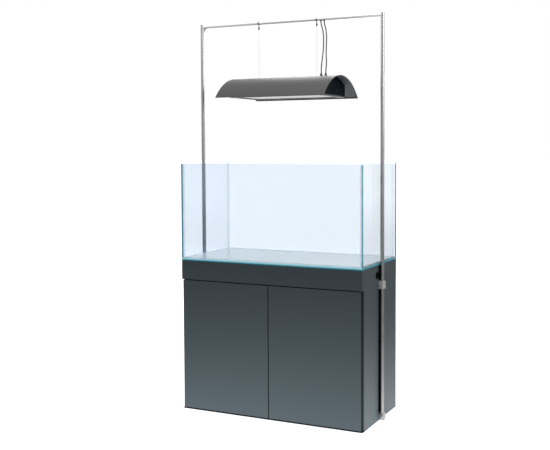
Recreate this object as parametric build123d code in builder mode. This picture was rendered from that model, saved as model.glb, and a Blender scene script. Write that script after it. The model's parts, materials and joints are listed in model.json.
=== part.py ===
from build123d import *
import math
import os

os.makedirs("parts", exist_ok=True)

# Rimless aquarium on a two-door cabinet. A tube stand clamped to the cabinet's sides
# hangs an arched lamp over the tank.
#
# Lengths are in mm. +Z is up, the doors face -Y, and +X is to the right of someone
# who faces them. The origin is on the floor, under the middle of the cabinet.

# ---- Driving dimensions: cabinet ----
CABINET_WIDTH = 900.0
CABINET_DEPTH = 450.0
CABINET_HEIGHT = 700.0
SIDE_THICKNESS = 25.0
TOP_THICKNESS = 25.0
BOARD_THICKNESS = 18.0
BACK_THICKNESS = 8.0
BASE_HEIGHT = 30.0
FASCIA_HEIGHT = 86.0
FASCIA_THICKNESS = 21.0
RAIL_BOTTOM = 590.0
EDGE_RADIUS = 1.0
SERVICE_WIDTH = 260.0
SERVICE_HEIGHT = 80.0
SERVICE_CENTRE_Z = 600.0
SERVICE_CORNER_RADIUS = 20.0

# Cable channel down each side, and the cable hole beside it
CHANNEL_WIDTH = 44.0
CHANNEL_DEPTH = 12.0
LINER_THICKNESS = 1.5
HOLE_Y = -39.5
HOLE_Z = 658.0
GROMMET_BORE_RADIUS = 14.0
GROMMET_SLEEVE_RADIUS = 15.5
GROMMET_FLANGE_RADIUS = 17.0
GROMMET_FLANGE_THICKNESS = 2.0

# ---- Driving dimensions: doors ----
DOOR_THICKNESS = 18.0
DOOR_SIDE_INSET = 6.0
DOOR_CENTRE_GAP = 3.0
DOOR_TOP_GAP = 5.5
DOOR_FLOOR_GAP = 5.5
PIVOT_FROM_EDGE = 7.0
PIVOT_FROM_BACK = 11.5
PIN_RADIUS = 2.5
PIN_CLEARANCE = 0.05
PIN_LENGTH = 14.0
BUSH_RADIUS = 4.5
BUSH_LENGTH = 16.0
LEAF_THICKNESS = 2.5
LEAF_CORNER = 3.0
LEAF_FLOOR_GAP = 1.0
THRUST_GAP = 0.3
TOP_LEAF_LENGTH = 42.0
TOP_LEAF_WIDTH = 18.0
TOP_LEAF_FROM_PIN = 11.5
BOTTOM_LEAF_LENGTH = 55.0
BOTTOM_LEAF_WIDTH = 20.0
BOTTOM_LEAF_FROM_FRONT = 7.5
LEAF_REBATE_LENGTH = 36.0
SCREW_RADIUS = 1.75
SCREW_HEAD_RADIUS = 3.5
SCREW_LENGTH = 14.0

# Push-to-open latches
LATCH_X = 40.0
LATCH_WIDTH = 16.0
LATCH_HEIGHT = 14.5
LATCH_DEPTH = 50.0
LATCH_SETBACK = 1.0
LATCH_END_WALL = 6.0
PLUNGER_RADIUS = 5.0
PLUNGER_LENGTH = 36.0
STRIKE_RADIUS = 8.0
STRIKE_THICKNESS = 0.8
LATCH_GAP = 0.1

# ---- Driving dimensions: tank ----
TANK_WIDTH = 900.0
TANK_DEPTH = 450.0
TANK_HEIGHT = 450.0
GLASS_THICKNESS = 10.0
MAT_THICKNESS = 3.0
MAT_INSET = 1.0
BEAD_LEG = 5.0
ARRIS = 0.8

# ---- Driving dimensions: stand ----
STAND_HEIGHT = 1820.0
UPRIGHT_RADIUS = 9.0
UPRIGHT_WALL = 1.2
UPRIGHT_FROM_SIDE = 10.0
UPRIGHT_SEAT_Z = 4.0
CAP_THICKNESS = 1.5
CAP_SPIGOT = 28.0
CROSSBAR_RADIUS = 7.0
CROSSBAR_WALL = 1.0
CROSSBAR_Z = 1810.0
CROSSBAR_SETBACK = 2.0
CORD_SLEEVE_RADIUS = 4.0
CORD_FLANGE_RADIUS = 5.2
CORD_FLANGE_DROP = 1.8
BRACE_RADIUS = 22.0
BRACE_THICKNESS = 4.0
BRACE_LAP = 1.0
CLAMP_HEIGHT = 34.0
CLAMP_Z = 612.0
CLAMP_DEPTH = 36.0
CLAMP_OUTER = 11.0
CLAMP_BOLT_RADIUS = 3.0
CLAMP_BOLT_HEAD_RADIUS = 5.0
CLAMP_BOLT_SOCKET = 2.9
CLAMP_BOLT_HEAD = 4.0
CLAMP_BOLT_SPACING = 18.0
CLAMP_BOLT_TIP = 9.5
CLAMP_BOLT_END_GAP = 0.5
SET_SCREW_HEAD_RADIUS = 4.5
SET_SCREW_HEAD = 4.0
SET_SCREW_RADIUS = 3.0
SET_SCREW_SOCKET = 2.0
FOOT_HEIGHT = 30.0
FOOT_DEPTH = 26.0
FOOT_OUTER = 14.0
FOOT_COLLAR_RADIUS = 11.5
FOOT_COLLAR_HEIGHT = 5.0
FOOT_CAP_RADIUS = 10.0
FOOT_CAP_THICKNESS = 4.0

# ---- Driving dimensions: lamp and its suspension ----
LAMP_X = -4.0
HOOD_LENGTH = 540.0
HOOD_CHORD = 412.0
HOOD_RISE = 96.5
HOOD_RIM_Z = 1456.0
SHEET = 1.5
HEM_WIDTH = 8.0
HOUSING_LENGTH = 460.0
HOUSING_WIDTH = 276.0
HOUSING_CLEARANCE = 0.1
FLANGE_WIDTH = 17.5
FRAME_RECESS = 2.0
FRAME_THICKNESS = 6.0
FRAME_LEDGE = 2.0
FRAME_OVERHANG = 2.0
FRAME_SCREW_INSET = 8.0
FRAME_SCREW_HEAD = 2.0
PANE_LENGTH = 428.0
PANE_WIDTH = 244.0
PANE_LAP = 4.0
PANE_THICKNESS = 4.0
WIRE_X = 148.0
WIRE_RADIUS = 0.6
COLLAR_RADIUS = 9.5
COLLAR_WIDTH = 8.0
COLLAR_CLEARANCE = 0.05
COLLAR_LUG_RADIUS = 2.5
COLLAR_LUG_LENGTH = 9.0
COLLAR_LUG_DROP = 16.0
GRIPPER_Z = 1787.0
GRIPPER_RADIUS = 3.6
ANCHOR_BOSS_RADIUS = 4.5
ANCHOR_BOSS_HEIGHT = 4.5
ANCHOR_TIP_RADIUS = 1.6
ANCHOR_SHANK_RADIUS = 2.5
ANCHOR_SHANK_LENGTH = 9.0
ANCHOR_NUT_RADIUS = 4.6
ANCHOR_NUT_HEIGHT = 4.0
CORD_RADIUS = 2.75
CORD_CLEARANCE = 0.3
INNER_GLAND_X = 169.5
OUTER_GLAND_X = 192.0
INNER_GROMMET_X = 164.0
OUTER_GROMMET_X = 180.5
GLAND_SHANK_RADIUS = 5.0
GLAND_COLLAR_RADIUS = 7.2
GLAND_TIP_RADIUS = 3.6
GLAND_SHANK_LENGTH = 7.0
GLAND_HEIGHT = 13.0
RIDGE_HOLE_DEPTH = 12.0

# Heights inside the lamp, above the face that the glass frame screws to
REFLECTOR_LENGTH = 446.0
REFLECTOR_SHEET = 0.8
REFLECTOR_FOOT = 8.0
SIDE_TROUGH = 40.0
MAIN_TROUGH = 62.0
BULB_HEIGHT = 32.0
BULB_HALF = 66.0
SOCKET_WIDTH = 22.0
SOCKET_HEIGHT = 26.0
SOCKET_STEM = 14.0
TWIN_TUBE_HEIGHT = 20.0
TWIN_TUBE_Y = 98.0
TWIN_TUBE_RADIUS = 8.5
TWIN_TUBE_PITCH = 20.5
TWIN_TUBE_END = -198.0
TUBE_BRIDGE_RADIUS = 4.0
TUBE_BRIDGE_INSET = 14.0
TUBE_BASE_START = 160.0
TUBE_BASE_LENGTH = 40.0
TUBE_BASE_WIDTH = 43.0
TUBE_BASE_HEIGHT = 22.0
TUBE_CLIP_X = -150.0
TUBE_CLIP_LENGTH = 8.0

# ---- Places that follow from the dimensions above ----
HALF_WIDTH = CABINET_WIDTH / 2
HALF_DEPTH = CABINET_DEPTH / 2
SIDE_INNER = HALF_WIDTH - SIDE_THICKNESS
SIDE_MIDDLE = HALF_WIDTH - SIDE_THICKNESS / 2
CARCASS_FRONT = -HALF_DEPTH + FASCIA_THICKNESS
BACK_FRONT = HALF_DEPTH - BACK_THICKNESS
FASCIA_BOTTOM = CABINET_HEIGHT - FASCIA_HEIGHT
TOP_BOTTOM = CABINET_HEIGHT - TOP_THICKNESS
CHANNEL_BASE = HALF_WIDTH - CHANNEL_DEPTH
LINER_FACE = CHANNEL_BASE + LINER_THICKNESS
DOOR_OUTER = HALF_WIDTH - DOOR_SIDE_INSET
DOOR_INNER = DOOR_CENTRE_GAP / 2
DOOR_BACK = -HALF_DEPTH + DOOR_THICKNESS
DOOR_TOP = FASCIA_BOTTOM - DOOR_TOP_GAP
PIVOT_X = DOOR_OUTER - PIVOT_FROM_EDGE
PIVOT_Y = DOOR_BACK - PIVOT_FROM_BACK
UPRIGHT_X = HALF_WIDTH + UPRIGHT_FROM_SIDE
UPRIGHT_TOP = STAND_HEIGHT - CAP_THICKNESS
CROSSBAR_END = UPRIGHT_X - CROSSBAR_SETBACK
BAR_BOTTOM = CROSSBAR_Z - CROSSBAR_RADIUS
GROMMET_XS = (INNER_GROMMET_X, OUTER_GROMMET_X)
CLAMP_BOLT_HEIGHTS = (CLAMP_Z - CLAMP_BOLT_SPACING / 2, CLAMP_Z + CLAMP_BOLT_SPACING / 2)
TANK_FLOOR = CABINET_HEIGHT + MAT_THICKNESS
WALL_FOOT = TANK_FLOOR + GLASS_THICKNESS
TANK_RIM = TANK_FLOOR + TANK_HEIGHT
HOOD_APEX_Z = HOOD_RIM_Z + HOOD_RISE
HOOD_RADIUS = (HOOD_CHORD**2 / 4 + HOOD_RISE**2) / (2 * HOOD_RISE)
HOOD_CENTRE_Z = HOOD_APEX_Z - HOOD_RADIUS
FRAME_BOTTOM = HOOD_RIM_Z + FRAME_RECESS
FRAME_TOP = FRAME_BOTTOM + FRAME_THICKNESS
WIRE_XS = (LAMP_X - WIRE_X, LAMP_X + WIRE_X)
SIDES = ((-1, "left"), (1, "right"))
STANDING = (Align.CENTER, Align.CENTER, Align.MIN)
HANGING = (Align.CENTER, Align.CENTER, Align.MAX)


def keep(builder, label, shift_x=0.0):
    """Labels a finished piece, moves it along X if asked, and writes it to its own file."""
    piece = builder.part.moved(Location((shift_x, 0, 0)))
    piece.label = label
    export_step(piece, f"parts/{label}.step")


def arc_height(radius, y):
    """Height at a distance y from the ridge of a circle about the hood's own centre line."""
    return HOOD_CENTRE_Z + math.sqrt(radius**2 - y**2)


def bottom_screw_places(side):
    """Screws of the lower pivot leaf, in line behind the pin."""
    return ((side * PIVOT_X, CARCASS_FRONT + 10.0), (side * PIVOT_X, CARCASS_FRONT + 26.0))


def top_screw_places(side):
    """Screws of the upper pivot leaf, beside the pin under the fascia."""
    return ((side * (PIVOT_X - 14.0), PIVOT_Y + 3.0), (side * (PIVOT_X - 28.0), PIVOT_Y + 3.0))


# ======================= Cabinet =======================


def make_side_panel(side, name):
    """Side panel with its mitred nose, cable channel, cable hole and clamp bolt holes."""
    with BuildPart() as panel:
        with BuildSketch(Plane.XY):
            with Locations((side * SIDE_MIDDLE, (CARCASS_FRONT + HALF_DEPTH) / 2)):
                Rectangle(SIDE_THICKNESS, HALF_DEPTH - CARCASS_FRONT)
        extrude(amount=CABINET_HEIGHT)
        outer_edges = panel.edges().filter_by(Axis.Z).group_by(Axis.X)[0 if side < 0 else -1]
        fillet(outer_edges.sort_by(Axis.Y)[-1], EDGE_RADIUS)
        with BuildSketch(Plane.XY.offset(FASCIA_BOTTOM)):
            with BuildLine():
                Polyline(
                    (side * HALF_WIDTH, -HALF_DEPTH),
                    (side * HALF_WIDTH, CARCASS_FRONT),
                    (side * (HALF_WIDTH - FASCIA_THICKNESS), CARCASS_FRONT),
                    close=True,
                )
            make_face()
        extrude(amount=FASCIA_HEIGHT)
        with BuildSketch(Plane.XY.offset(FOOT_HEIGHT)):
            with Locations((side * (HALF_WIDTH - CHANNEL_DEPTH / 2), 0)):
                Rectangle(CHANNEL_DEPTH, CHANNEL_WIDTH)
        extrude(amount=CABINET_HEIGHT - FOOT_HEIGHT, mode=Mode.SUBTRACT)
        with BuildSketch(Plane.YZ.offset(side * SIDE_INNER)):
            with Locations((HOLE_Y, HOLE_Z)):
                Circle(GROMMET_SLEEVE_RADIUS)
            with Locations(*[(0, z) for z in CLAMP_BOLT_HEIGHTS]):
                Circle(CLAMP_BOLT_RADIUS)
        extrude(amount=side * SIDE_THICKNESS, mode=Mode.SUBTRACT)
        # Rebate under the front corner for the lower door pivot
        with BuildSketch(Plane.XY):
            with Locations((side * SIDE_MIDDLE, CARCASS_FRONT + LEAF_REBATE_LENGTH / 2)):
                Rectangle(SIDE_THICKNESS, LEAF_REBATE_LENGTH)
        extrude(amount=LEAF_FLOOR_GAP + LEAF_THICKNESS, mode=Mode.SUBTRACT)
        with BuildSketch(Plane.XY):
            with Locations(*bottom_screw_places(side)):
                Circle(SCREW_RADIUS)
        extrude(amount=LEAF_FLOOR_GAP + SCREW_LENGTH, mode=Mode.SUBTRACT)
    keep(panel, f"cabinet_side_{name}")


for side, name in SIDES:
    make_side_panel(side, name)

with BuildPart() as cabinet_top:
    with BuildSketch(Plane.XY.offset(TOP_BOTTOM)):
        with Locations((0, (CARCASS_FRONT + BACK_FRONT) / 2)):
            Rectangle(2 * SIDE_INNER, BACK_FRONT - CARCASS_FRONT)
    extrude(amount=TOP_THICKNESS)
keep(cabinet_top, "cabinet_top")

with BuildPart() as cabinet_bottom:
    with BuildSketch(Plane.XY.offset(BASE_HEIGHT)):
        with Locations((0, (CARCASS_FRONT + BACK_FRONT) / 2)):
            Rectangle(2 * SIDE_INNER, BACK_FRONT - CARCASS_FRONT)
    extrude(amount=BOARD_THICKNESS)
keep(cabinet_bottom, "cabinet_bottom")

# The back has one slot for hoses and leads.
with BuildPart() as cabinet_back:
    with BuildSketch(Plane.XZ.offset(-HALF_DEPTH)):
        with Locations((0, CABINET_HEIGHT / 2)):
            Rectangle(2 * SIDE_INNER, CABINET_HEIGHT)
        with Locations((0, SERVICE_CENTRE_Z)):
            RectangleRounded(SERVICE_WIDTH, SERVICE_HEIGHT, SERVICE_CORNER_RADIUS, mode=Mode.SUBTRACT)
    extrude(amount=BACK_THICKNESS)
keep(cabinet_back, "cabinet_back")

with BuildPart() as fascia_panel:
    with BuildSketch(Plane.XY.offset(FASCIA_BOTTOM)):
        with BuildLine():
            Polyline(
                (-HALF_WIDTH, -HALF_DEPTH),
                (HALF_WIDTH, -HALF_DEPTH),
                (HALF_WIDTH - FASCIA_THICKNESS, CARCASS_FRONT),
                (-HALF_WIDTH + FASCIA_THICKNESS, CARCASS_FRONT),
                close=True,
            )
        make_face()
    extrude(amount=FASCIA_HEIGHT)
    with BuildSketch(Plane.XY.offset(FASCIA_BOTTOM)):
        with Locations(*top_screw_places(-1), *top_screw_places(1)):
            Circle(SCREW_RADIUS)
    extrude(amount=SCREW_LENGTH - LEAF_THICKNESS, mode=Mode.SUBTRACT)
keep(fascia_panel, "fascia_panel")

with BuildPart() as door_rail:
    with BuildSketch(Plane.XY.offset(RAIL_BOTTOM)):
        with Locations((0, CARCASS_FRONT + BOARD_THICKNESS / 2)):
            Rectangle(2 * SIDE_INNER, BOARD_THICKNESS)
    extrude(amount=TOP_BOTTOM - RAIL_BOTTOM)
keep(door_rail, "door_rail")

with BuildPart() as base_strips:
    with BuildSketch(Plane.XY):
        with Locations(
            (0, CARCASS_FRONT + BOARD_THICKNESS / 2),
            (0, BACK_FRONT - BOARD_THICKNESS / 2),
        ):
            Rectangle(2 * SIDE_INNER, BOARD_THICKNESS)
    extrude(amount=BASE_HEIGHT)
keep(base_strips, "base_strips")

# A thin black U lines each cable channel.
with BuildPart() as channel_liners:
    with BuildSketch(Plane.XY.offset(FOOT_HEIGHT)):
        for side, name in SIDES:
            with Locations((side * (HALF_WIDTH - CHANNEL_DEPTH / 2), 0)):
                Rectangle(CHANNEL_DEPTH, CHANNEL_WIDTH)
            with Locations((side * (HALF_WIDTH + LINER_FACE) / 2, 0)):
                Rectangle(
                    HALF_WIDTH - LINER_FACE, CHANNEL_WIDTH - 2 * LINER_THICKNESS, mode=Mode.SUBTRACT
                )
    extrude(amount=CABINET_HEIGHT - FOOT_HEIGHT)
    with Locations(*[(0, 0, z) for z in CLAMP_BOLT_HEIGHTS]):
        Cylinder(CLAMP_BOLT_RADIUS, CABINET_WIDTH, rotation=(0, 90, 0), mode=Mode.SUBTRACT)
keep(channel_liners, "channel_liners")

with BuildPart() as cable_grommets:
    for side, name in SIDES:
        with BuildSketch(Plane.YZ.offset(side * SIDE_INNER)):
            with Locations((HOLE_Y, HOLE_Z)):
                Circle(GROMMET_SLEEVE_RADIUS)
        extrude(amount=side * SIDE_THICKNESS)
        with BuildSketch(Plane.YZ.offset(side * HALF_WIDTH)):
            with Locations((HOLE_Y, HOLE_Z)):
                Circle(GROMMET_FLANGE_RADIUS)
        extrude(amount=side * GROMMET_FLANGE_THICKNESS)
        rim = cable_grommets.edges().filter_by(GeomType.CIRCLE).group_by(Axis.X)[0 if side < 0 else -1]
        fillet(rim, 1.2)
        with BuildSketch(Plane.YZ.offset(side * SIDE_INNER)):
            with Locations((HOLE_Y, HOLE_Z)):
                Circle(GROMMET_BORE_RADIUS)
        extrude(amount=side * (SIDE_THICKNESS + GROMMET_FLANGE_THICKNESS), mode=Mode.SUBTRACT)
keep(cable_grommets, "cable_grommets")

# ======================= Doors =======================

for side, name in SIDES:
    with BuildPart() as door:
        with BuildSketch(Plane.XY.offset(DOOR_FLOOR_GAP)):
            with Locations((side * (DOOR_OUTER + DOOR_INNER) / 2, (DOOR_BACK - HALF_DEPTH) / 2)):
                Rectangle(DOOR_OUTER - DOOR_INNER, DOOR_THICKNESS)
        extrude(amount=DOOR_TOP - DOOR_FLOOR_GAP)
        fillet(door.faces().sort_by(Axis.Y)[0].edges(), EDGE_RADIUS)
        for start in (DOOR_FLOOR_GAP, DOOR_TOP - BUSH_LENGTH):
            with BuildSketch(Plane.XY.offset(start)):
                with Locations((side * PIVOT_X, PIVOT_Y)):
                    Circle(BUSH_RADIUS)
            extrude(amount=BUSH_LENGTH, mode=Mode.SUBTRACT)
    keep(door, f"door_{name}")

    with BuildPart() as pivot_bushes:
        for start in (DOOR_FLOOR_GAP, DOOR_TOP - BUSH_LENGTH):
            with BuildSketch(Plane.XY.offset(start)):
                with Locations((side * PIVOT_X, PIVOT_Y)):
                    Circle(BUSH_RADIUS)
                    Circle(PIN_RADIUS + PIN_CLEARANCE, mode=Mode.SUBTRACT)
            extrude(amount=BUSH_LENGTH)
    keep(pivot_bushes, f"pivot_bushes_{name}")

    with BuildPart() as strike_plate:
        with BuildSketch(Plane.XZ.offset(-DOOR_BACK)):
            with Locations((side * LATCH_X, RAIL_BOTTOM - LATCH_HEIGHT / 2)):
                Circle(STRIKE_RADIUS)
        extrude(amount=-STRIKE_THICKNESS)
    keep(strike_plate, f"strike_plate_{name}")

# The upper pivots hang from the fascia: leaf, thrust boss and pin.
with BuildPart() as top_pivots:
    for side, name in SIDES:
        with BuildSketch(Plane.XY.offset(FASCIA_BOTTOM - LEAF_THICKNESS)):
            with Locations((side * (PIVOT_X - TOP_LEAF_FROM_PIN), (CARCASS_FRONT - HALF_DEPTH) / 2)):
                RectangleRounded(TOP_LEAF_LENGTH, TOP_LEAF_WIDTH, LEAF_CORNER)
            with Locations(*top_screw_places(side)):
                Circle(SCREW_RADIUS, mode=Mode.SUBTRACT)
        extrude(amount=LEAF_THICKNESS)
        with Locations((side * PIVOT_X, PIVOT_Y, FASCIA_BOTTOM - LEAF_THICKNESS)):
            Cylinder(BUSH_RADIUS, DOOR_TOP_GAP - LEAF_THICKNESS - THRUST_GAP, align=HANGING)
        with Locations((side * PIVOT_X, PIVOT_Y, DOOR_TOP - PIN_LENGTH)):
            Cylinder(PIN_RADIUS, PIN_LENGTH + DOOR_TOP_GAP - LEAF_THICKNESS, align=STANDING)
        for x, y in top_screw_places(side):
            with Locations((x, y, FASCIA_BOTTOM - LEAF_THICKNESS)):
                Cone(
                    SCREW_HEAD_RADIUS,
                    SCREW_RADIUS,
                    SCREW_HEAD_RADIUS - SCREW_RADIUS,
                    align=STANDING,
                    mode=Mode.SUBTRACT,
                )
keep(top_pivots, "top_pivots")

# The lower pivots sit in rebates under the side panels' front corners.
with BuildPart() as bottom_pivots:
    for side, name in SIDES:
        with BuildSketch(Plane.XY.offset(LEAF_FLOOR_GAP)):
            with Locations((side * PIVOT_X, CARCASS_FRONT + BOTTOM_LEAF_FROM_FRONT)):
                RectangleRounded(BOTTOM_LEAF_WIDTH, BOTTOM_LEAF_LENGTH, LEAF_CORNER)
            with Locations(*bottom_screw_places(side)):
                Circle(SCREW_RADIUS, mode=Mode.SUBTRACT)
        extrude(amount=LEAF_THICKNESS)
        with Locations((side * PIVOT_X, PIVOT_Y, LEAF_FLOOR_GAP + LEAF_THICKNESS)):
            Cylinder(
                BUSH_RADIUS,
                DOOR_FLOOR_GAP - LEAF_FLOOR_GAP - LEAF_THICKNESS - THRUST_GAP,
                align=STANDING,
            )
        with Locations((side * PIVOT_X, PIVOT_Y, DOOR_FLOOR_GAP + PIN_LENGTH)):
            Cylinder(
                PIN_RADIUS,
                PIN_LENGTH + DOOR_FLOOR_GAP - LEAF_FLOOR_GAP - LEAF_THICKNESS,
                align=HANGING,
            )
        for x, y in bottom_screw_places(side):
            with Locations((x, y, LEAF_FLOOR_GAP)):
                Cone(
                    SCREW_HEAD_RADIUS,
                    SCREW_RADIUS,
                    SCREW_HEAD_RADIUS - SCREW_RADIUS,
                    align=STANDING,
                    mode=Mode.SUBTRACT,
                )
keep(bottom_pivots, "bottom_pivots")

# Countersunk screws, driven upwards through both kinds of leaf
with BuildPart() as pivot_screws:
    for side, name in SIDES:
        tops = [(x, y, FASCIA_BOTTOM - LEAF_THICKNESS) for x, y in top_screw_places(side)]
        bottoms = [(x, y, LEAF_FLOOR_GAP) for x, y in bottom_screw_places(side)]
        with Locations(*tops, *bottoms):
            Cylinder(SCREW_RADIUS, SCREW_LENGTH, align=STANDING)
            Cone(
                SCREW_HEAD_RADIUS,
                SCREW_RADIUS,
                SCREW_HEAD_RADIUS - SCREW_RADIUS,
                align=STANDING,
            )
keep(pivot_screws, "pivot_screws")

# ======================= Push latches =======================

LATCH_Z = RAIL_BOTTOM - LATCH_HEIGHT / 2
LATCH_FRONT = CARCASS_FRONT + LATCH_SETBACK
PLUNGER_TIP = DOOR_BACK + STRIKE_THICKNESS + LATCH_GAP

with BuildPart() as latch_housings:
    with BuildSketch(Plane.XZ.offset(-LATCH_FRONT)):
        with Locations((-LATCH_X, LATCH_Z), (LATCH_X, LATCH_Z)):
            RectangleRounded(LATCH_WIDTH, LATCH_HEIGHT, 2.0)
    extrude(amount=-LATCH_DEPTH)
    with BuildSketch(Plane.XZ.offset(-LATCH_FRONT)):
        with Locations((-LATCH_X, LATCH_Z), (LATCH_X, LATCH_Z)):
            Circle(PLUNGER_RADIUS + PIN_CLEARANCE)
    extrude(amount=LATCH_END_WALL - LATCH_DEPTH, mode=Mode.SUBTRACT)
keep(latch_housings, "latch_housings")

for side, name in SIDES:
    with BuildPart() as plunger:
        with BuildSketch(Plane.XZ.offset(-PLUNGER_TIP)):
            with Locations((side * LATCH_X, LATCH_Z)):
                Circle(PLUNGER_RADIUS)
        extrude(amount=-PLUNGER_LENGTH)
        chamfer(plunger.edges().filter_by(GeomType.CIRCLE).sort_by(Axis.Y)[0], 0.8)
    keep(plunger, f"latch_plunger_{name}")

# ======================= Tank =======================

with BuildPart() as tank_mat:
    with BuildSketch(Plane.XY.offset(CABINET_HEIGHT)):
        Rectangle(TANK_WIDTH - 2 * MAT_INSET, TANK_DEPTH - 2 * MAT_INSET)
    extrude(amount=MAT_THICKNESS)
keep(tank_mat, "tank_mat")

with BuildPart() as tank_bottom:
    with BuildSketch(Plane.XY.offset(TANK_FLOOR)):
        Rectangle(TANK_WIDTH, TANK_DEPTH)
    extrude(amount=GLASS_THICKNESS)
    chamfer(tank_bottom.edges().filter_by(Axis.Z), ARRIS)
keep(tank_bottom, "tank_bottom")

# The front and back panes run the full width, and the end panes stand between them.
for side, name in ((-1, "front"), (1, "back")):
    with BuildPart() as long_pane:
        with BuildSketch(Plane.XY.offset(WALL_FOOT)):
            with Locations((0, side * (TANK_DEPTH - GLASS_THICKNESS) / 2)):
                Rectangle(TANK_WIDTH, GLASS_THICKNESS)
        extrude(amount=TANK_RIM - WALL_FOOT)
        outer_edges = long_pane.edges().filter_by(Axis.Z).group_by(Axis.Y)[0 if side < 0 else -1]
        chamfer(outer_edges + long_pane.faces().sort_by(Axis.Z)[-1].edges(), ARRIS)
    keep(long_pane, f"tank_{name}")

for side, name in SIDES:
    with BuildPart() as end_pane:
        with BuildSketch(Plane.XY.offset(WALL_FOOT)):
            with Locations((side * (TANK_WIDTH - GLASS_THICKNESS) / 2, 0)):
                Rectangle(GLASS_THICKNESS, TANK_DEPTH - 2 * GLASS_THICKNESS)
        extrude(amount=TANK_RIM - WALL_FOOT)
        chamfer(end_pane.faces().sort_by(Axis.Z)[-1].edges().filter_by(Axis.Y), ARRIS)
    keep(end_pane, f"tank_{name}")

# One continuous bead of clear silicone: four upright corners and the floor's edge
with BuildPart() as silicone_seams:
    inner_x = TANK_WIDTH / 2 - GLASS_THICKNESS
    inner_y = TANK_DEPTH / 2 - GLASS_THICKNESS
    for corner_x in (-1, 1):
        for corner_y in (-1, 1):
            with BuildSketch(Plane.XY.offset(WALL_FOOT)):
                with BuildLine():
                    Polyline(
                        (corner_x * inner_x, corner_y * inner_y),
                        (corner_x * (inner_x - BEAD_LEG), corner_y * inner_y),
                        (corner_x * inner_x, corner_y * (inner_y - BEAD_LEG)),
                        close=True,
                    )
                make_face()
            extrude(amount=TANK_RIM - WALL_FOOT - BEAD_LEG)
    for edge in (-1, 1):
        with BuildSketch(Plane.YZ.offset(-inner_x)):
            with BuildLine():
                Polyline(
                    (edge * inner_y, WALL_FOOT),
                    (edge * (inner_y - BEAD_LEG), WALL_FOOT),
                    (edge * inner_y, WALL_FOOT + BEAD_LEG),
                    close=True,
                )
            make_face()
        extrude(amount=2 * inner_x)
        with BuildSketch(Plane.XZ.offset(-inner_y)):
            with BuildLine():
                Polyline(
                    (edge * inner_x, WALL_FOOT),
                    (edge * (inner_x - BEAD_LEG), WALL_FOOT),
                    (edge * inner_x, WALL_FOOT + BEAD_LEG),
                    close=True,
                )
            make_face()
        extrude(amount=2 * inner_y)
keep(silicone_seams, "silicone_seams")

# ======================= Stand =======================

BAR_SOLID_LENGTH = 2 * CROSSBAR_END

for side, name in SIDES:
    with BuildPart() as upright:
        with BuildSketch(Plane.XY.offset(UPRIGHT_SEAT_Z)):
            with Locations((side * UPRIGHT_X, 0)):
                Circle(UPRIGHT_RADIUS)
                Circle(UPRIGHT_RADIUS - UPRIGHT_WALL, mode=Mode.SUBTRACT)
        extrude(amount=UPRIGHT_TOP - UPRIGHT_SEAT_Z)
        with Locations((0, 0, CROSSBAR_Z)):
            Cylinder(CROSSBAR_RADIUS, BAR_SOLID_LENGTH, rotation=(0, 90, 0), mode=Mode.SUBTRACT)
    keep(upright, f"upright_{name}")

# Each upright ends in a capped plug that seats the crossbar's end.
with BuildPart() as upright_caps:
    for side, name in SIDES:
        with Locations((side * UPRIGHT_X, 0, UPRIGHT_TOP)):
            Cylinder(UPRIGHT_RADIUS - UPRIGHT_WALL, CAP_SPIGOT, align=HANGING)
            Cylinder(UPRIGHT_RADIUS, CAP_THICKNESS, align=STANDING)
    fillet(upright_caps.edges().filter_by(GeomType.CIRCLE).group_by(Axis.Z)[-1], 0.8)
    with Locations((0, 0, CROSSBAR_Z)):
        Cylinder(CROSSBAR_RADIUS, BAR_SOLID_LENGTH, rotation=(0, 90, 0), mode=Mode.SUBTRACT)
keep(upright_caps, "upright_caps")

with BuildPart() as crossbar:
    with BuildSketch(Plane.YZ.offset(-CROSSBAR_END)):
        with Locations((0, CROSSBAR_Z)):
            Circle(CROSSBAR_RADIUS)
            Circle(CROSSBAR_RADIUS - CROSSBAR_WALL, mode=Mode.SUBTRACT)
    extrude(amount=BAR_SOLID_LENGTH)
    with Locations(*[(x, 0, CROSSBAR_Z) for x in GROMMET_XS]):
        Cylinder(CORD_SLEEVE_RADIUS, 2 * CROSSBAR_RADIUS, align=HANGING, mode=Mode.SUBTRACT)
keep(crossbar, "crossbar")

with BuildPart() as cord_grommets:
    with Locations(*[(x, 0, BAR_BOTTOM - CORD_FLANGE_DROP) for x in GROMMET_XS]):
        Cylinder(CORD_FLANGE_RADIUS, 2 * CORD_FLANGE_DROP, align=STANDING)
    with Locations((0, 0, CROSSBAR_Z)):
        Cylinder(CROSSBAR_RADIUS, BAR_SOLID_LENGTH, rotation=(0, 90, 0), mode=Mode.SUBTRACT)
    with Locations(*[(x, 0, BAR_BOTTOM - CORD_FLANGE_DROP) for x in GROMMET_XS]):
        Cylinder(CORD_SLEEVE_RADIUS, 2 * CORD_FLANGE_DROP, align=STANDING)
    with Locations(*[(x, 0, BAR_BOTTOM) for x in GROMMET_XS]):
        Cylinder(CORD_RADIUS + CORD_CLEARANCE, CROSSBAR_RADIUS, mode=Mode.SUBTRACT)
keep(cord_grommets, "cord_grommets")

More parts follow.
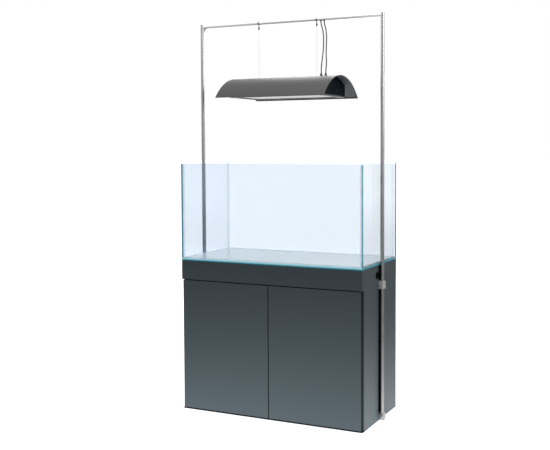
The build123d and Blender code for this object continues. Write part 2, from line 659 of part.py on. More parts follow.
# Concave web in the left upper corner, between the crossbar and the upright
with BuildPart() as corner_brace:
    tube_face = -(UPRIGHT_X - UPRIGHT_RADIUS)
    with BuildSketch(Plane.XZ.offset(-BRACE_THICKNESS / 2)):
        with Locations((tube_face - BRACE_LAP, BAR_BOTTOM + BRACE_LAP)):
            Rectangle(BRACE_RADIUS + BRACE_LAP, BRACE_RADIUS + BRACE_LAP, align=(Align.MIN, Align.MAX))
        with Locations((tube_face + BRACE_RADIUS, BAR_BOTTOM - BRACE_RADIUS)):
            Circle(BRACE_RADIUS, mode=Mode.SUBTRACT)
    extrude(amount=BRACE_THICKNESS)
    with Locations((0, 0, CROSSBAR_Z)):
        Cylinder(CROSSBAR_RADIUS, BAR_SOLID_LENGTH, rotation=(0, 90, 0), mode=Mode.SUBTRACT)
    with Locations((-UPRIGHT_X, 0, CROSSBAR_Z)):
        Cylinder(UPRIGHT_RADIUS, 4 * BRACE_RADIUS, mode=Mode.SUBTRACT)
keep(corner_brace, "corner_brace")

for side, name in SIDES:
    clamp_width = UPRIGHT_X + CLAMP_OUTER - LINER_FACE
    with BuildPart() as upper_clamp:
        with BuildSketch(Plane.XY.offset(CLAMP_Z - CLAMP_HEIGHT / 2)):
            with Locations((side * (LINER_FACE + clamp_width / 2), 0)):
                Rectangle(clamp_width, CLAMP_DEPTH)
        extrude(amount=CLAMP_HEIGHT)
        outer_edges = upper_clamp.edges().filter_by(Axis.Z).group_by(Axis.X)[0 if side < 0 else -1]
        fillet(outer_edges, 2.5)
        with Locations((side * UPRIGHT_X, 0, CLAMP_Z)):
            Cylinder(UPRIGHT_RADIUS, CLAMP_HEIGHT, mode=Mode.SUBTRACT)
        with BuildSketch(Plane.YZ.offset(side * LINER_FACE)):
            with Locations(*[(0, z) for z in CLAMP_BOLT_HEIGHTS]):
                Circle(CLAMP_BOLT_RADIUS)
        extrude(amount=side * CLAMP_BOLT_TIP, mode=Mode.SUBTRACT)
        with BuildSketch(Plane.XZ.offset(CLAMP_DEPTH / 2)):
            with Locations((side * UPRIGHT_X, CLAMP_Z)):
                Circle(SET_SCREW_RADIUS)
        extrude(amount=-(CLAMP_DEPTH / 2 - UPRIGHT_RADIUS / 2), mode=Mode.SUBTRACT)
    keep(upper_clamp, f"upper_clamp_{name}")

    with BuildPart() as foot_block:
        with BuildSketch(Plane.XY):
            with Locations((side * (HALF_WIDTH + (UPRIGHT_FROM_SIDE + FOOT_OUTER) / 2), 0)):
                Rectangle(UPRIGHT_FROM_SIDE + FOOT_OUTER, FOOT_DEPTH)
        extrude(amount=FOOT_HEIGHT)
        outer_edges = foot_block.edges().filter_by(Axis.Z).group_by(Axis.X)[0 if side < 0 else -1]
        fillet(outer_edges, 4.0)
        with Locations((side * UPRIGHT_X, 0, FOOT_HEIGHT)):
            Cylinder(FOOT_COLLAR_RADIUS, FOOT_COLLAR_HEIGHT, align=STANDING)
        fillet(foot_block.edges().filter_by(GeomType.CIRCLE).group_by(Axis.Z)[-1], 1.0)
        with Locations((side * UPRIGHT_X, 0, UPRIGHT_SEAT_Z)):
            Cylinder(
                UPRIGHT_RADIUS,
                FOOT_HEIGHT + FOOT_COLLAR_HEIGHT,
                align=STANDING,
                mode=Mode.SUBTRACT,
            )
        with BuildSketch(Plane.XZ.offset(FOOT_DEPTH / 2)):
            with Locations((side * UPRIGHT_X, FOOT_HEIGHT / 2)):
                Circle(SET_SCREW_RADIUS)
        extrude(amount=-(FOOT_DEPTH / 2 - UPRIGHT_RADIUS / 2), mode=Mode.SUBTRACT)
    keep(foot_block, f"foot_block_{name}")

# Bolts from inside the cabinet hold the clamp blocks.
with BuildPart() as clamp_bolts:
    for side, name in SIDES:
        with BuildSketch(Plane.YZ.offset(side * SIDE_INNER)):
            with Locations(*[(0, z) for z in CLAMP_BOLT_HEIGHTS]):
                Circle(CLAMP_BOLT_RADIUS)
        extrude(amount=side * (LINER_FACE + CLAMP_BOLT_TIP - CLAMP_BOLT_END_GAP - SIDE_INNER))
        with BuildSketch(Plane.YZ.offset(side * SIDE_INNER)):
            with Locations(*[(0, z) for z in CLAMP_BOLT_HEIGHTS]):
                Circle(CLAMP_BOLT_HEAD_RADIUS)
                RegularPolygon(CLAMP_BOLT_SOCKET, 6, mode=Mode.SUBTRACT)
        extrude(amount=-side * CLAMP_BOLT_HEAD)
keep(clamp_bolts, "clamp_bolts")

# Socket-head screws that bear on the uprights, each as its height, the depth of the face
# it goes into, and its head's radius, length and rounding. The feet have the broad ones.
FRONT_SCREWS = (
    (CLAMP_Z, CLAMP_DEPTH / 2, SET_SCREW_HEAD_RADIUS, SET_SCREW_HEAD, 1.5),
    (FOOT_HEIGHT / 2, FOOT_DEPTH / 2, FOOT_CAP_RADIUS, FOOT_CAP_THICKNESS, 1.2),
)
with BuildPart() as stand_screws:
    for height, reach, head_radius, head_length, rounding in FRONT_SCREWS:
        places = [(side * UPRIGHT_X, height) for side, name in SIDES]
        with BuildSketch(Plane.XZ.offset(reach)):
            with Locations(*places):
                Circle(head_radius)
        heads = extrude(amount=head_length)
        fillet(heads.edges().filter_by(GeomType.CIRCLE).group_by(Axis.Y)[0], rounding)
        with BuildSketch(Plane.XZ.offset(reach + head_length)):
            with Locations(*places):
                RegularPolygon(SET_SCREW_SOCKET, 6)
        extrude(amount=-head_length / 2, mode=Mode.SUBTRACT)
        with BuildSketch(Plane.XZ.offset(reach)):
            with Locations(*places):
                Circle(SET_SCREW_RADIUS)
        extrude(amount=UPRIGHT_RADIUS - reach)
keep(stand_screws, "stand_screws")

# ======================= Suspension =======================

COLLAR_LUG_BOTTOM = CROSSBAR_Z - COLLAR_LUG_DROP
WIRE_TOP = COLLAR_LUG_BOTTOM + 4.0
WIRE_BOTTOM = HOOD_APEX_Z + 3.0

# Rings that turn on the crossbar, each with a lug for its wire
with BuildPart() as wire_collars:
    for x in WIRE_XS:
        with BuildSketch(Plane.YZ.offset(x - COLLAR_WIDTH / 2)):
            with Locations((0, CROSSBAR_Z)):
                Circle(COLLAR_RADIUS)
        extrude(amount=COLLAR_WIDTH)
    fillet(wire_collars.edges().filter_by(GeomType.CIRCLE), 0.8)
    with Locations(*[(x, 0, COLLAR_LUG_BOTTOM) for x in WIRE_XS]):
        Cylinder(COLLAR_LUG_RADIUS, COLLAR_LUG_LENGTH, align=STANDING)
    with BuildSketch(Plane.YZ.offset(-CROSSBAR_END)):
        with Locations((0, CROSSBAR_Z)):
            Circle(CROSSBAR_RADIUS + COLLAR_CLEARANCE)
    extrude(amount=2 * CROSSBAR_END, mode=Mode.SUBTRACT)
    with Locations(*[(x, 0, COLLAR_LUG_BOTTOM) for x in WIRE_XS]):
        Cylinder(WIRE_RADIUS, WIRE_TOP - COLLAR_LUG_BOTTOM, align=STANDING, mode=Mode.SUBTRACT)
keep(wire_collars, "wire_collars")

# Self-locking grippers: a barrel between two cones, bored for the wire
with BuildPart() as wire_grippers:
    with BuildSketch(Plane.XZ):
        with BuildLine():
            Polyline(
                (WIRE_RADIUS, GRIPPER_Z - 8.0),
                (2.0, GRIPPER_Z - 8.0),
                (GRIPPER_RADIUS, GRIPPER_Z - 5.0),
                (GRIPPER_RADIUS, GRIPPER_Z + 3.0),
                (1.8, GRIPPER_Z + 6.5),
                (WIRE_RADIUS, GRIPPER_Z + 6.5),
                close=True,
            )
        make_face()
    gripper = revolve(axis=Axis.Z, mode=Mode.PRIVATE)
    with Locations(*[(x, 0, 0) for x in WIRE_XS]):
        add(gripper)
keep(wire_grippers, "wire_grippers")

for (side, name), x in zip(SIDES, WIRE_XS):
    with BuildPart() as wire:
        with Locations((x, 0, WIRE_BOTTOM)):
            Cylinder(WIRE_RADIUS, WIRE_TOP - WIRE_BOTTOM, align=STANDING)
    keep(wire, f"suspension_wire_{name}")

ANCHOR_NUT_TOP = HOOD_APEX_Z - 2 * (SHEET + HOUSING_CLEARANCE)

# Each wire ends in a stud on the hood's ridge, held by a nut inside.
with BuildPart() as ridge_anchors:
    for x in WIRE_XS:
        with Locations((x, 0, HOOD_APEX_Z)):
            Cylinder(ANCHOR_BOSS_RADIUS, ANCHOR_BOSS_HEIGHT, align=STANDING)
            Cylinder(ANCHOR_SHANK_RADIUS, ANCHOR_SHANK_LENGTH, align=HANGING)
        with Locations((x, 0, HOOD_APEX_Z + ANCHOR_BOSS_HEIGHT)):
            Cone(ANCHOR_BOSS_RADIUS - 0.9, ANCHOR_TIP_RADIUS, ANCHOR_BOSS_HEIGHT, align=STANDING)
        with Locations((x, 0, WIRE_BOTTOM)):
            Cylinder(
                WIRE_RADIUS + PIN_CLEARANCE,
                2 * ANCHOR_BOSS_HEIGHT,
                align=STANDING,
                mode=Mode.SUBTRACT,
            )
    with BuildSketch(Plane.XY.offset(ANCHOR_NUT_TOP)):
        with Locations(*[(x, 0) for x in WIRE_XS]):
            RegularPolygon(ANCHOR_NUT_RADIUS, 6)
            Circle(ANCHOR_SHANK_RADIUS + PIN_CLEARANCE, mode=Mode.SUBTRACT)
    extrude(amount=-ANCHOR_NUT_HEIGHT)
keep(ridge_anchors, "ridge_anchors")

# ======================= Lamp =======================

# The pieces below are drawn about the lamp's own middle and hung at LAMP_X.
GLAND_XS = (INNER_GLAND_X, OUTER_GLAND_X)
HEM_TOP = HOOD_RIM_Z + SHEET
HEM_Y = HOOD_CHORD / 2 - HEM_WIDTH
INNER_RADIUS = HOOD_RADIUS - SHEET
INNER_HEM_Y = math.sqrt(INNER_RADIUS**2 - (HEM_TOP - HOOD_CENTRE_Z) ** 2)

# One rolled sheet with a narrow hem turned in along both rims
with BuildPart() as lamp_hood:
    with BuildSketch(Plane.YZ.offset(-HOOD_LENGTH / 2)):
        with BuildLine():
            ThreePointArc((-HOOD_CHORD / 2, HOOD_RIM_Z), (0, HOOD_APEX_Z), (HOOD_CHORD / 2, HOOD_RIM_Z))
            Polyline(
                (HOOD_CHORD / 2, HOOD_RIM_Z),
                (HEM_Y, HOOD_RIM_Z),
                (HEM_Y, HEM_TOP),
                (INNER_HEM_Y, HEM_TOP),
            )
            ThreePointArc((INNER_HEM_Y, HEM_TOP), (0, HOOD_APEX_Z - SHEET), (-INNER_HEM_Y, HEM_TOP))
            Polyline(
                (-INNER_HEM_Y, HEM_TOP),
                (-HEM_Y, HEM_TOP),
                (-HEM_Y, HOOD_RIM_Z),
                (-HOOD_CHORD / 2, HOOD_RIM_Z),
            )
        make_face()
    extrude(amount=HOOD_LENGTH)
    with Locations((-WIRE_X, 0, HOOD_APEX_Z), (WIRE_X, 0, HOOD_APEX_Z)):
        Cylinder(ANCHOR_SHANK_RADIUS, RIDGE_HOLE_DEPTH, mode=Mode.SUBTRACT)
    with Locations(*[(x, 0, HOOD_APEX_Z) for x in GLAND_XS]):
        Cylinder(GLAND_SHANK_RADIUS, RIDGE_HOLE_DEPTH, mode=Mode.SUBTRACT)
keep(lamp_hood, "lamp_hood", LAMP_X)

# Welded box under the hood: top, four walls and a flange that the glass frame screws to
BOX_RADIUS = INNER_RADIUS - HOUSING_CLEARANCE
BOX_SHAPES = ((0.0, Mode.ADD), (SHEET, Mode.SUBTRACT))
with BuildPart() as lamp_housing:
    for inset, mode in BOX_SHAPES:
        half_length = HOUSING_LENGTH / 2 - inset
        half_width = HOUSING_WIDTH / 2 - inset
        floor = FRAME_TOP + inset
        roof_radius = BOX_RADIUS - inset
        wall_top = arc_height(roof_radius, half_width)
        with BuildSketch(Plane.YZ.offset(-half_length)):
            with BuildLine():
                Polyline(
                    (-half_width, wall_top),
                    (-half_width, floor),
                    (half_width, floor),
                    (half_width, wall_top),
                )
                ThreePointArc(
                    (half_width, wall_top),
                    (0, arc_height(roof_radius, 0)),
                    (-half_width, wall_top),
                )
            make_face()
        extrude(amount=2 * half_length, mode=mode)
    with BuildSketch(Plane.XY.offset(FRAME_TOP)):
        Rectangle(
            HOUSING_LENGTH - 2 * (SHEET + FLANGE_WIDTH),
            HOUSING_WIDTH - 2 * (SHEET + FLANGE_WIDTH),
        )
    extrude(amount=SHEET, mode=Mode.SUBTRACT)
    with Locations((-WIRE_X, 0, HOOD_APEX_Z), (WIRE_X, 0, HOOD_APEX_Z)):
        Cylinder(ANCHOR_SHANK_RADIUS, RIDGE_HOLE_DEPTH, mode=Mode.SUBTRACT)
    with Locations(*[(x, 0, HOOD_APEX_Z) for x in GLAND_XS]):
        Cylinder(GLAND_SHANK_RADIUS, RIDGE_HOLE_DEPTH, mode=Mode.SUBTRACT)
keep(lamp_housing, "lamp_housing", LAMP_X)

# Conical cord glands on the ridge
with BuildPart() as cord_glands:
    with BuildSketch(Plane.XZ):
        with BuildLine():
            Polyline(
                (CORD_RADIUS + PIN_CLEARANCE, HOOD_APEX_Z - GLAND_SHANK_LENGTH),
                (GLAND_SHANK_RADIUS, HOOD_APEX_Z - GLAND_SHANK_LENGTH),
                (GLAND_SHANK_RADIUS, HOOD_APEX_Z),
                (GLAND_COLLAR_RADIUS, HOOD_APEX_Z),
                (GLAND_COLLAR_RADIUS, HOOD_APEX_Z + 3.5),
                (5.8, HOOD_APEX_Z + 4.5),
                (GLAND_TIP_RADIUS, HOOD_APEX_Z + GLAND_HEIGHT),
                (CORD_RADIUS + PIN_CLEARANCE, HOOD_APEX_Z + GLAND_HEIGHT),
                close=True,
            )
        make_face()
    gland = revolve(axis=Axis.Z, mode=Mode.PRIVATE)
    with Locations(*[(x, 0, 0) for x in GLAND_XS]):
        add(gland)
keep(cord_glands, "cord_glands", LAMP_X)

# Folded mirror sheet: a deep trough over the bulb and a shallow one over each twin tube
REFLECTOR_FOLDS = (
    (-134.0, REFLECTOR_FOOT),
    (-125.0, SIDE_TROUGH),
    (-72.0, SIDE_TROUGH),
    (-62.0, REFLECTOR_FOOT),
    (-30.0, MAIN_TROUGH),
    (30.0, MAIN_TROUGH),
    (62.0, REFLECTOR_FOOT),
    (72.0, SIDE_TROUGH),
    (125.0, SIDE_TROUGH),
    (134.0, REFLECTOR_FOOT),
)
with BuildPart() as reflector:
    with BuildSketch(Plane.YZ.offset(-REFLECTOR_LENGTH / 2)):
        with BuildLine():
            Polyline(*[(y, FRAME_TOP + height) for y, height in REFLECTOR_FOLDS])
            offset(amount=REFLECTOR_SHEET, side=Side.LEFT)
        make_face()
    extrude(amount=REFLECTOR_LENGTH)
keep(reflector, "reflector", LAMP_X)

FRAME_SCREW_PITCH_X = HOUSING_LENGTH - 2 * FRAME_SCREW_INSET
FRAME_SCREW_PITCH_Y = HOUSING_WIDTH - 2 * FRAME_SCREW_INSET

with BuildPart() as glass_frame:
    with BuildSketch(Plane.XY.offset(FRAME_BOTTOM)):
        Rectangle(HOUSING_LENGTH + 2 * FRAME_OVERHANG, HOUSING_WIDTH + 2 * FRAME_OVERHANG)
        Rectangle(PANE_LENGTH - 2 * PANE_LAP, PANE_WIDTH - 2 * PANE_LAP, mode=Mode.SUBTRACT)
    extrude(amount=FRAME_THICKNESS)
    with BuildSketch(Plane.XY.offset(FRAME_BOTTOM + FRAME_LEDGE)):
        Rectangle(PANE_LENGTH, PANE_WIDTH)
    extrude(amount=FRAME_THICKNESS - FRAME_LEDGE, mode=Mode.SUBTRACT)
    with BuildSketch(Plane.XY.offset(FRAME_BOTTOM)):
        with GridLocations(FRAME_SCREW_PITCH_X, FRAME_SCREW_PITCH_Y, 2, 2):
            Circle(SCREW_RADIUS)
    extrude(amount=FRAME_THICKNESS, mode=Mode.SUBTRACT)
keep(glass_frame, "glass_frame", LAMP_X)

with BuildPart() as lamp_glass:
    with BuildSketch(Plane.XY.offset(FRAME_BOTTOM + FRAME_LEDGE)):
        Rectangle(PANE_LENGTH, PANE_WIDTH)
    extrude(amount=PANE_THICKNESS)
keep(lamp_glass, "lamp_glass", LAMP_X)

# Pan-head screws under the glass frame's corners
with BuildPart() as frame_screws:
    with BuildSketch(Plane.XY.offset(FRAME_BOTTOM)):
        with GridLocations(FRAME_SCREW_PITCH_X, FRAME_SCREW_PITCH_Y, 2, 2):
            Circle(SCREW_RADIUS)
    extrude(amount=FRAME_THICKNESS)
    with BuildSketch(Plane.XY.offset(FRAME_BOTTOM)):
        with GridLocations(FRAME_SCREW_PITCH_X, FRAME_SCREW_PITCH_Y, 2, 2):
            Circle(SCREW_HEAD_RADIUS)
    extrude(amount=-FRAME_SCREW_HEAD)
    fillet(frame_screws.edges().filter_by(GeomType.CIRCLE).group_by(Axis.Z)[0], 1.0)
keep(frame_screws, "frame_screws", LAMP_X)

BULB_Z = FRAME_TOP + BULB_HEIGHT
MAIN_TROUGH_Z = FRAME_TOP + MAIN_TROUGH

# Double-ended discharge bulb: a swollen quartz tube on two slim ends
with BuildPart() as discharge_bulb:
    with BuildSketch(Plane.XZ):
        with BuildLine():
            Polyline((0, -BULB_HALF), (5.0, -BULB_HALF), (5.0, -46.0), (9.0, -38.0))
            ThreePointArc((9.0, -38.0), (12.0, 0), (9.0, 38.0))
            Polyline((9.0, 38.0), (5.0, 46.0), (5.0, BULB_HALF), (0, BULB_HALF), (0, -BULB_HALF))
        make_face()
    bulb = revolve(axis=Axis.Z, mode=Mode.PRIVATE)
    with Locations(Location((0, 0, BULB_Z), (0, 90, 0))):
        add(bulb)
keep(discharge_bulb, "discharge_bulb", LAMP_X)

with BuildPart() as bulb_sockets:
    for side, name in SIDES:
        with Locations((side * (BULB_HALF + SOCKET_WIDTH / 2), 0, BULB_Z)):
            Box(SOCKET_WIDTH, SOCKET_WIDTH, SOCKET_HEIGHT)
        with Locations((side * (BULB_HALF + SOCKET_WIDTH / 2), 0, MAIN_TROUGH_Z)):
            Box(
                SOCKET_STEM,
                SOCKET_STEM,
                MAIN_TROUGH_Z - BULB_Z - SOCKET_HEIGHT / 2,
                align=HANGING,
            )
    fillet(bulb_sockets.edges().filter_by(Axis.Z), 1.5)
keep(bulb_sockets, "bulb_sockets", LAMP_X)

TWIN_TUBE_Z = FRAME_TOP + TWIN_TUBE_HEIGHT
SIDE_TROUGH_Z = FRAME_TOP + SIDE_TROUGH

for side, name in ((-1, "front"), (1, "back")):
    with BuildPart() as twin_tube:
        lanes = [(side * TWIN_TUBE_Y + lane * TWIN_TUBE_PITCH / 2, TWIN_TUBE_Z) for lane in (-1, 1)]
        with BuildSketch(Plane.YZ.offset(TWIN_TUBE_END)):
            with Locations(*lanes):
                Circle(TWIN_TUBE_RADIUS)
        extrude(amount=TUBE_BASE_START - TWIN_TUBE_END)
        fillet(twin_tube.edges().filter_by(GeomType.CIRCLE).group_by(Axis.X)[0], 6.0)
        with Locations((TWIN_TUBE_END + TUBE_BRIDGE_INSET, side * TWIN_TUBE_Y, TWIN_TUBE_Z)):
            Cylinder(TUBE_BRIDGE_RADIUS, TWIN_TUBE_PITCH, rotation=(90, 0, 0))
        with BuildSketch(Plane.YZ.offset(TUBE_BASE_START)):
            with Locations((side * TWIN_TUBE_Y, TWIN_TUBE_Z)):
                RectangleRounded(TUBE_BASE_WIDTH, TUBE_BASE_HEIGHT, 5.0)
        extrude(amount=TUBE_BASE_LENGTH)
    keep(twin_tube, f"twin_tube_{name}", LAMP_X)

# A socket and a saddle clip for each twin tube, fixed under the side troughs
with BuildPart() as tube_holders:
    for side in (-1, 1):
        with Locations((TUBE_BASE_START + TUBE_BASE_LENGTH, side * TWIN_TUBE_Y, SIDE_TROUGH_Z)):
            Box(
                2 * TUBE_CLIP_LENGTH,
                TUBE_BASE_WIDTH,
                SIDE_TROUGH_Z - TWIN_TUBE_Z + TUBE_BASE_HEIGHT / 2,
                align=(Align.MIN, Align.CENTER, Align.MAX),
            )
        with Locations((TUBE_CLIP_X, side * TWIN_TUBE_Y, TWIN_TUBE_Z)):
            Box(TUBE_CLIP_LENGTH, TUBE_BASE_WIDTH, SIDE_TROUGH_Z - TWIN_TUBE_Z, align=STANDING)
        for lane in (-1, 1):
            lane_y = side * TWIN_TUBE_Y + lane * TWIN_TUBE_PITCH / 2
            with Locations((TUBE_CLIP_X, lane_y, TWIN_TUBE_Z)):
                Cylinder(
                    TWIN_TUBE_RADIUS,
                    2 * TUBE_CLIP_LENGTH,
                    rotation=(0, 90, 0),
                    mode=Mode.SUBTRACT,
                )
keep(tube_holders, "tube_holders", LAMP_X)

# ======================= Power cords =======================

# Each cord leaves its gland on the ridge and goes up, slack, into the crossbar.
CORD_ROUTES = {
    "inner": [
        (164.0, 0.0, 1807.5),
        (164.0, 0.0, 1789.0),
        (174.0, 1.0, 1759.0),
        (177.2, 2.0, 1724.0),
        (176.4, 1.5, 1690.0),
        (173.6, 3.0, 1657.0),
        (170.0, 2.0, 1628.0),
        (167.0, 0.0, 1603.0),
        (165.5, 0.0, 1577.0),
        (165.5, 0.0, 1556.0),
    ],
    "outer": [
        (180.5, 0.0, 1807.5),
        (180.5, 0.0, 1789.0),
        (190.0, -1.0, 1761.0),
        (193.2, -1.5, 1729.0),
        (192.4, -2.5, 1696.0),
        (190.8, -2.0, 1664.0),
        (190.8, -1.0, 1633.0),
        (192.0, 0.0, 1606.0),
        (188.0, 0.0, 1577.0),
        (188.0, 0.0, 1556.0),
    ],
}

for name, route in CORD_ROUTES.items():
    points = [Vector(point) for point in route]
    runs = [end - start for start, end in zip(points, points[1:])]
    radii = []
    for before, after in zip(runs, runs[1:]):
        half_turn = math.radians(before.get_angle(after)) / 2
        radii.append(0.45 * min(before.length, after.length) / math.tan(half_turn))
    with BuildPart() as power_cord:
        with BuildLine() as centre_line:
            FilletPolyline(*points, radius=radii)
        with BuildSketch(Plane(origin=points[0], z_dir=runs[0])):
            Circle(CORD_RADIUS)
        sweep()
    keep(power_cord, f"power_cord_{name}")
    cord_length = centre_line.wires()[0].length
    section_volume = math.pi * CORD_RADIUS**2 * cord_length
    print(f"power_cord_{name}: radii {[round(radius) for radius in radii]}")
    print(f"  length {cord_length:.1f}, volume {power_cord.part.volume:.1f} of {section_volume:.1f}")
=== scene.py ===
import json
import math

import bpy
from mathutils import Matrix, Vector


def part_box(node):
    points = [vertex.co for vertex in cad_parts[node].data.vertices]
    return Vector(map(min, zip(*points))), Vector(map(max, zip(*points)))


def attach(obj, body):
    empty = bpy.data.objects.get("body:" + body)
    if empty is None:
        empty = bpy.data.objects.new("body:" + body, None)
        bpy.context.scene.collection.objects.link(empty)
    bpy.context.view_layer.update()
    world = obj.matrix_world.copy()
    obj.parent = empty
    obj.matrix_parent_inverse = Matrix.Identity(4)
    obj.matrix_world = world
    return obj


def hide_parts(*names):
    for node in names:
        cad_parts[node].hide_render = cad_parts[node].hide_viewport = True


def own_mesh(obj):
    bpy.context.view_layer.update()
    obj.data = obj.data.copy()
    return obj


# Looks of the aquarium on its stand: rimless tank, two-door cabinet, tube stand and arched
# lamp. Everything is in metres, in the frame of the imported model, with the doors on -Y.

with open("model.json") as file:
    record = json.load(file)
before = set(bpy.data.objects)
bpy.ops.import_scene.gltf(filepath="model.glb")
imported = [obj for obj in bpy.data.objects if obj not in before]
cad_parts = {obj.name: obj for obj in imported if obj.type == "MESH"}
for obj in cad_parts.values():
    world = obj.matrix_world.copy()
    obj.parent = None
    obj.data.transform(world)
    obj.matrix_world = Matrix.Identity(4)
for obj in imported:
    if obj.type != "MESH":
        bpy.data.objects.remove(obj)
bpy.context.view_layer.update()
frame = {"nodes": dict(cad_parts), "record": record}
scene = bpy.context.scene

# ---- Camera, at the photograph's viewing angle ----
FRAME_WIDTH_PX = 550
SENSOR_MM = 36.0
FOCAL_PX = 907.26
CAMERA_PLACE = (1.8035, -3.8331, 1.2419)
CAMERA_TURN = 26.076
CAMERA_TILT = -3.3525
CAMERA_ROLL = -0.279
CAMERA_SHIFT_Y = -0.05
CAMERA_SIGHT = 200.0

camera_data = bpy.data.cameras.new("camera")
camera_data.sensor_width = SENSOR_MM
camera_data.lens = FOCAL_PX * SENSOR_MM / FRAME_WIDTH_PX
camera_data.shift_y = CAMERA_SHIFT_Y
camera_data.clip_end = CAMERA_SIGHT
camera = bpy.data.objects.new("camera", camera_data)
scene.collection.objects.link(camera)
camera.matrix_world = (
    Matrix.Translation(CAMERA_PLACE)
    @ Matrix.Rotation(math.radians(CAMERA_TURN), 4, "Z")
    @ Matrix.Rotation(math.radians(90.0 + CAMERA_TILT), 4, "X")
    @ Matrix.Rotation(math.radians(CAMERA_ROLL), 4, "Z")
)
scene.camera = camera

# ---- Power cords, along the points of part.py's routes ----
CORD_RADIUS = 0.00275
CORD_SIDES = 20
CORD_RESOLUTION = 8
CORD_ROUTES = {
    "inner": (
        (0.1640, 0.0, 1.8075),
        (0.1640, 0.0, 1.7890),
        (0.1740, 0.0010, 1.7590),
        (0.1772, 0.0020, 1.7240),
        (0.1764, 0.0015, 1.6900),
        (0.1736, 0.0030, 1.6570),
        (0.1700, 0.0020, 1.6280),
        (0.1670, 0.0, 1.6030),
        (0.1655, 0.0, 1.5770),
        (0.1655, 0.0, 1.5560),
    ),
    "outer": (
        (0.1805, 0.0, 1.8075),
        (0.1805, 0.0, 1.7890),
        (0.1900, -0.0010, 1.7610),
        (0.1932, -0.0015, 1.7290),
        (0.1924, -0.0025, 1.6960),
        (0.1908, -0.0020, 1.6640),
        (0.1908, -0.0010, 1.6330),
        (0.1920, 0.0, 1.6060),
        (0.1880, 0.0, 1.5770),
        (0.1880, 0.0, 1.5560),
    ),
}


def smooth_line(name, route):
    """Points along the NURBS curve that has the route's points as its control points."""
    curve = bpy.data.curves.new(name, "CURVE")
    curve.dimensions = "3D"
    curve.resolution_u = CORD_RESOLUTION
    spline = curve.splines.new("NURBS")
    spline.points.add(len(route) - 1)
    for point, place in zip(spline.points, route):
        point.co = (*place, 1.0)
    spline.order_u = 3
    spline.use_endpoint_u = True
    holder = bpy.data.objects.new(name, curve)
    mesh = bpy.data.meshes.new_from_object(holder)
    line = [vertex.co.copy() for vertex in mesh.vertices]
    bpy.data.objects.remove(holder)
    bpy.data.meshes.remove(mesh)
    bpy.data.curves.remove(curve)
    return line


def add_mesh(name, vertices, faces, smooth=True):
    """A mesh object from its vertices and faces."""
    mesh = bpy.data.meshes.new(name)
    mesh.from_pydata(vertices, [], faces)
    mesh.validate()
    mesh.update()
    if smooth:
        mesh.shade_smooth()
    piece = bpy.data.objects.new(name, mesh)
    scene.collection.objects.link(piece)
    return piece


def tube_rings(line, radius, sides):
    """Vertices and faces of a closed tube along a line, with no twist."""
    vertices = []
    faces = []
    across = Vector((1.0, 0.0, 0.0))
    for index, point in enumerate(line):
        ahead = line[min(index + 1, len(line) - 1)] - line[max(index - 1, 0)]
        ahead.normalize()
        across = (across - ahead * across.dot(ahead)).normalized()
        beside = ahead.cross(across)
        for step in range(sides):
            turn = 2 * math.pi * step / sides
            vertices.append(point + radius * (math.cos(turn) * across + math.sin(turn) * beside))
    for ring in range(len(line) - 1):
        for step in range(sides):
            following = (step + 1) % sides
            low = ring * sides
            high = low + sides
            faces.append((low + step, low + following, high + following, high + step))
    last = (len(line) - 1) * sides
    faces.append(tuple(reversed(range(sides))))
    faces.append(tuple(range(last, last + sides)))
    return vertices, faces


cords = []
for name, route in CORD_ROUTES.items():
    line = smooth_line(f"cord_route_{name}", route)
    cord = add_mesh(f"cord_{name}", *tube_rings(line, CORD_RADIUS, CORD_SIDES))
    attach(cord, "lamp_suspension")
    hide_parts(f"power_cord_{name}")
    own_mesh(cord)
    cords.append(cord)

# ---- Suspension wires: strands laid round a straight one ----
WIRE_STRANDS = 6
STRAND_RADIUS = 0.0002
STRAND_LAY_RADIUS = 0.0004
STRAND_PITCH = 0.009
STEPS_PER_TURN = 10
STRAND_SIDES = 6


def strand_line(middle, low, high, start_turn, lay_radius):
    """Points of one strand between two heights, round the wire's middle."""
    steps = int((high - low) / STRAND_PITCH * STEPS_PER_TURN)
    line = []
    for step in range(steps + 1):
        turn = 2 * math.pi * (step / STEPS_PER_TURN + start_turn)
        x = middle.x + lay_radius * math.cos(turn)
        y = middle.y + lay_radius * math.sin(turn)
        line.append(Vector((x, y, low + (high - low) * step / steps)))
    return line


wires = []
for name in ("left", "right"):
    low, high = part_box(f"suspension_wire_{name}")
    middle = (low + high) / 2
    vertices = []
    faces = []
    for strand in range(WIRE_STRANDS + 1):
        lay_radius = STRAND_LAY_RADIUS if strand < WIRE_STRANDS else 0.0
        line = strand_line(middle, low.z, high.z, strand / WIRE_STRANDS, lay_radius)
        more_vertices, more_faces = tube_rings(line, STRAND_RADIUS, STRAND_SIDES)
        start = len(vertices)
        vertices.extend(more_vertices)
        faces.extend(tuple(start + corner for corner in face) for face in more_faces)
    wire = add_mesh(f"wire_{name}", vertices, faces)
    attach(wire, "lamp_suspension")
    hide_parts(f"suspension_wire_{name}")
    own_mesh(wire)
    wires.append(wire)


# ======================= Node trees =======================


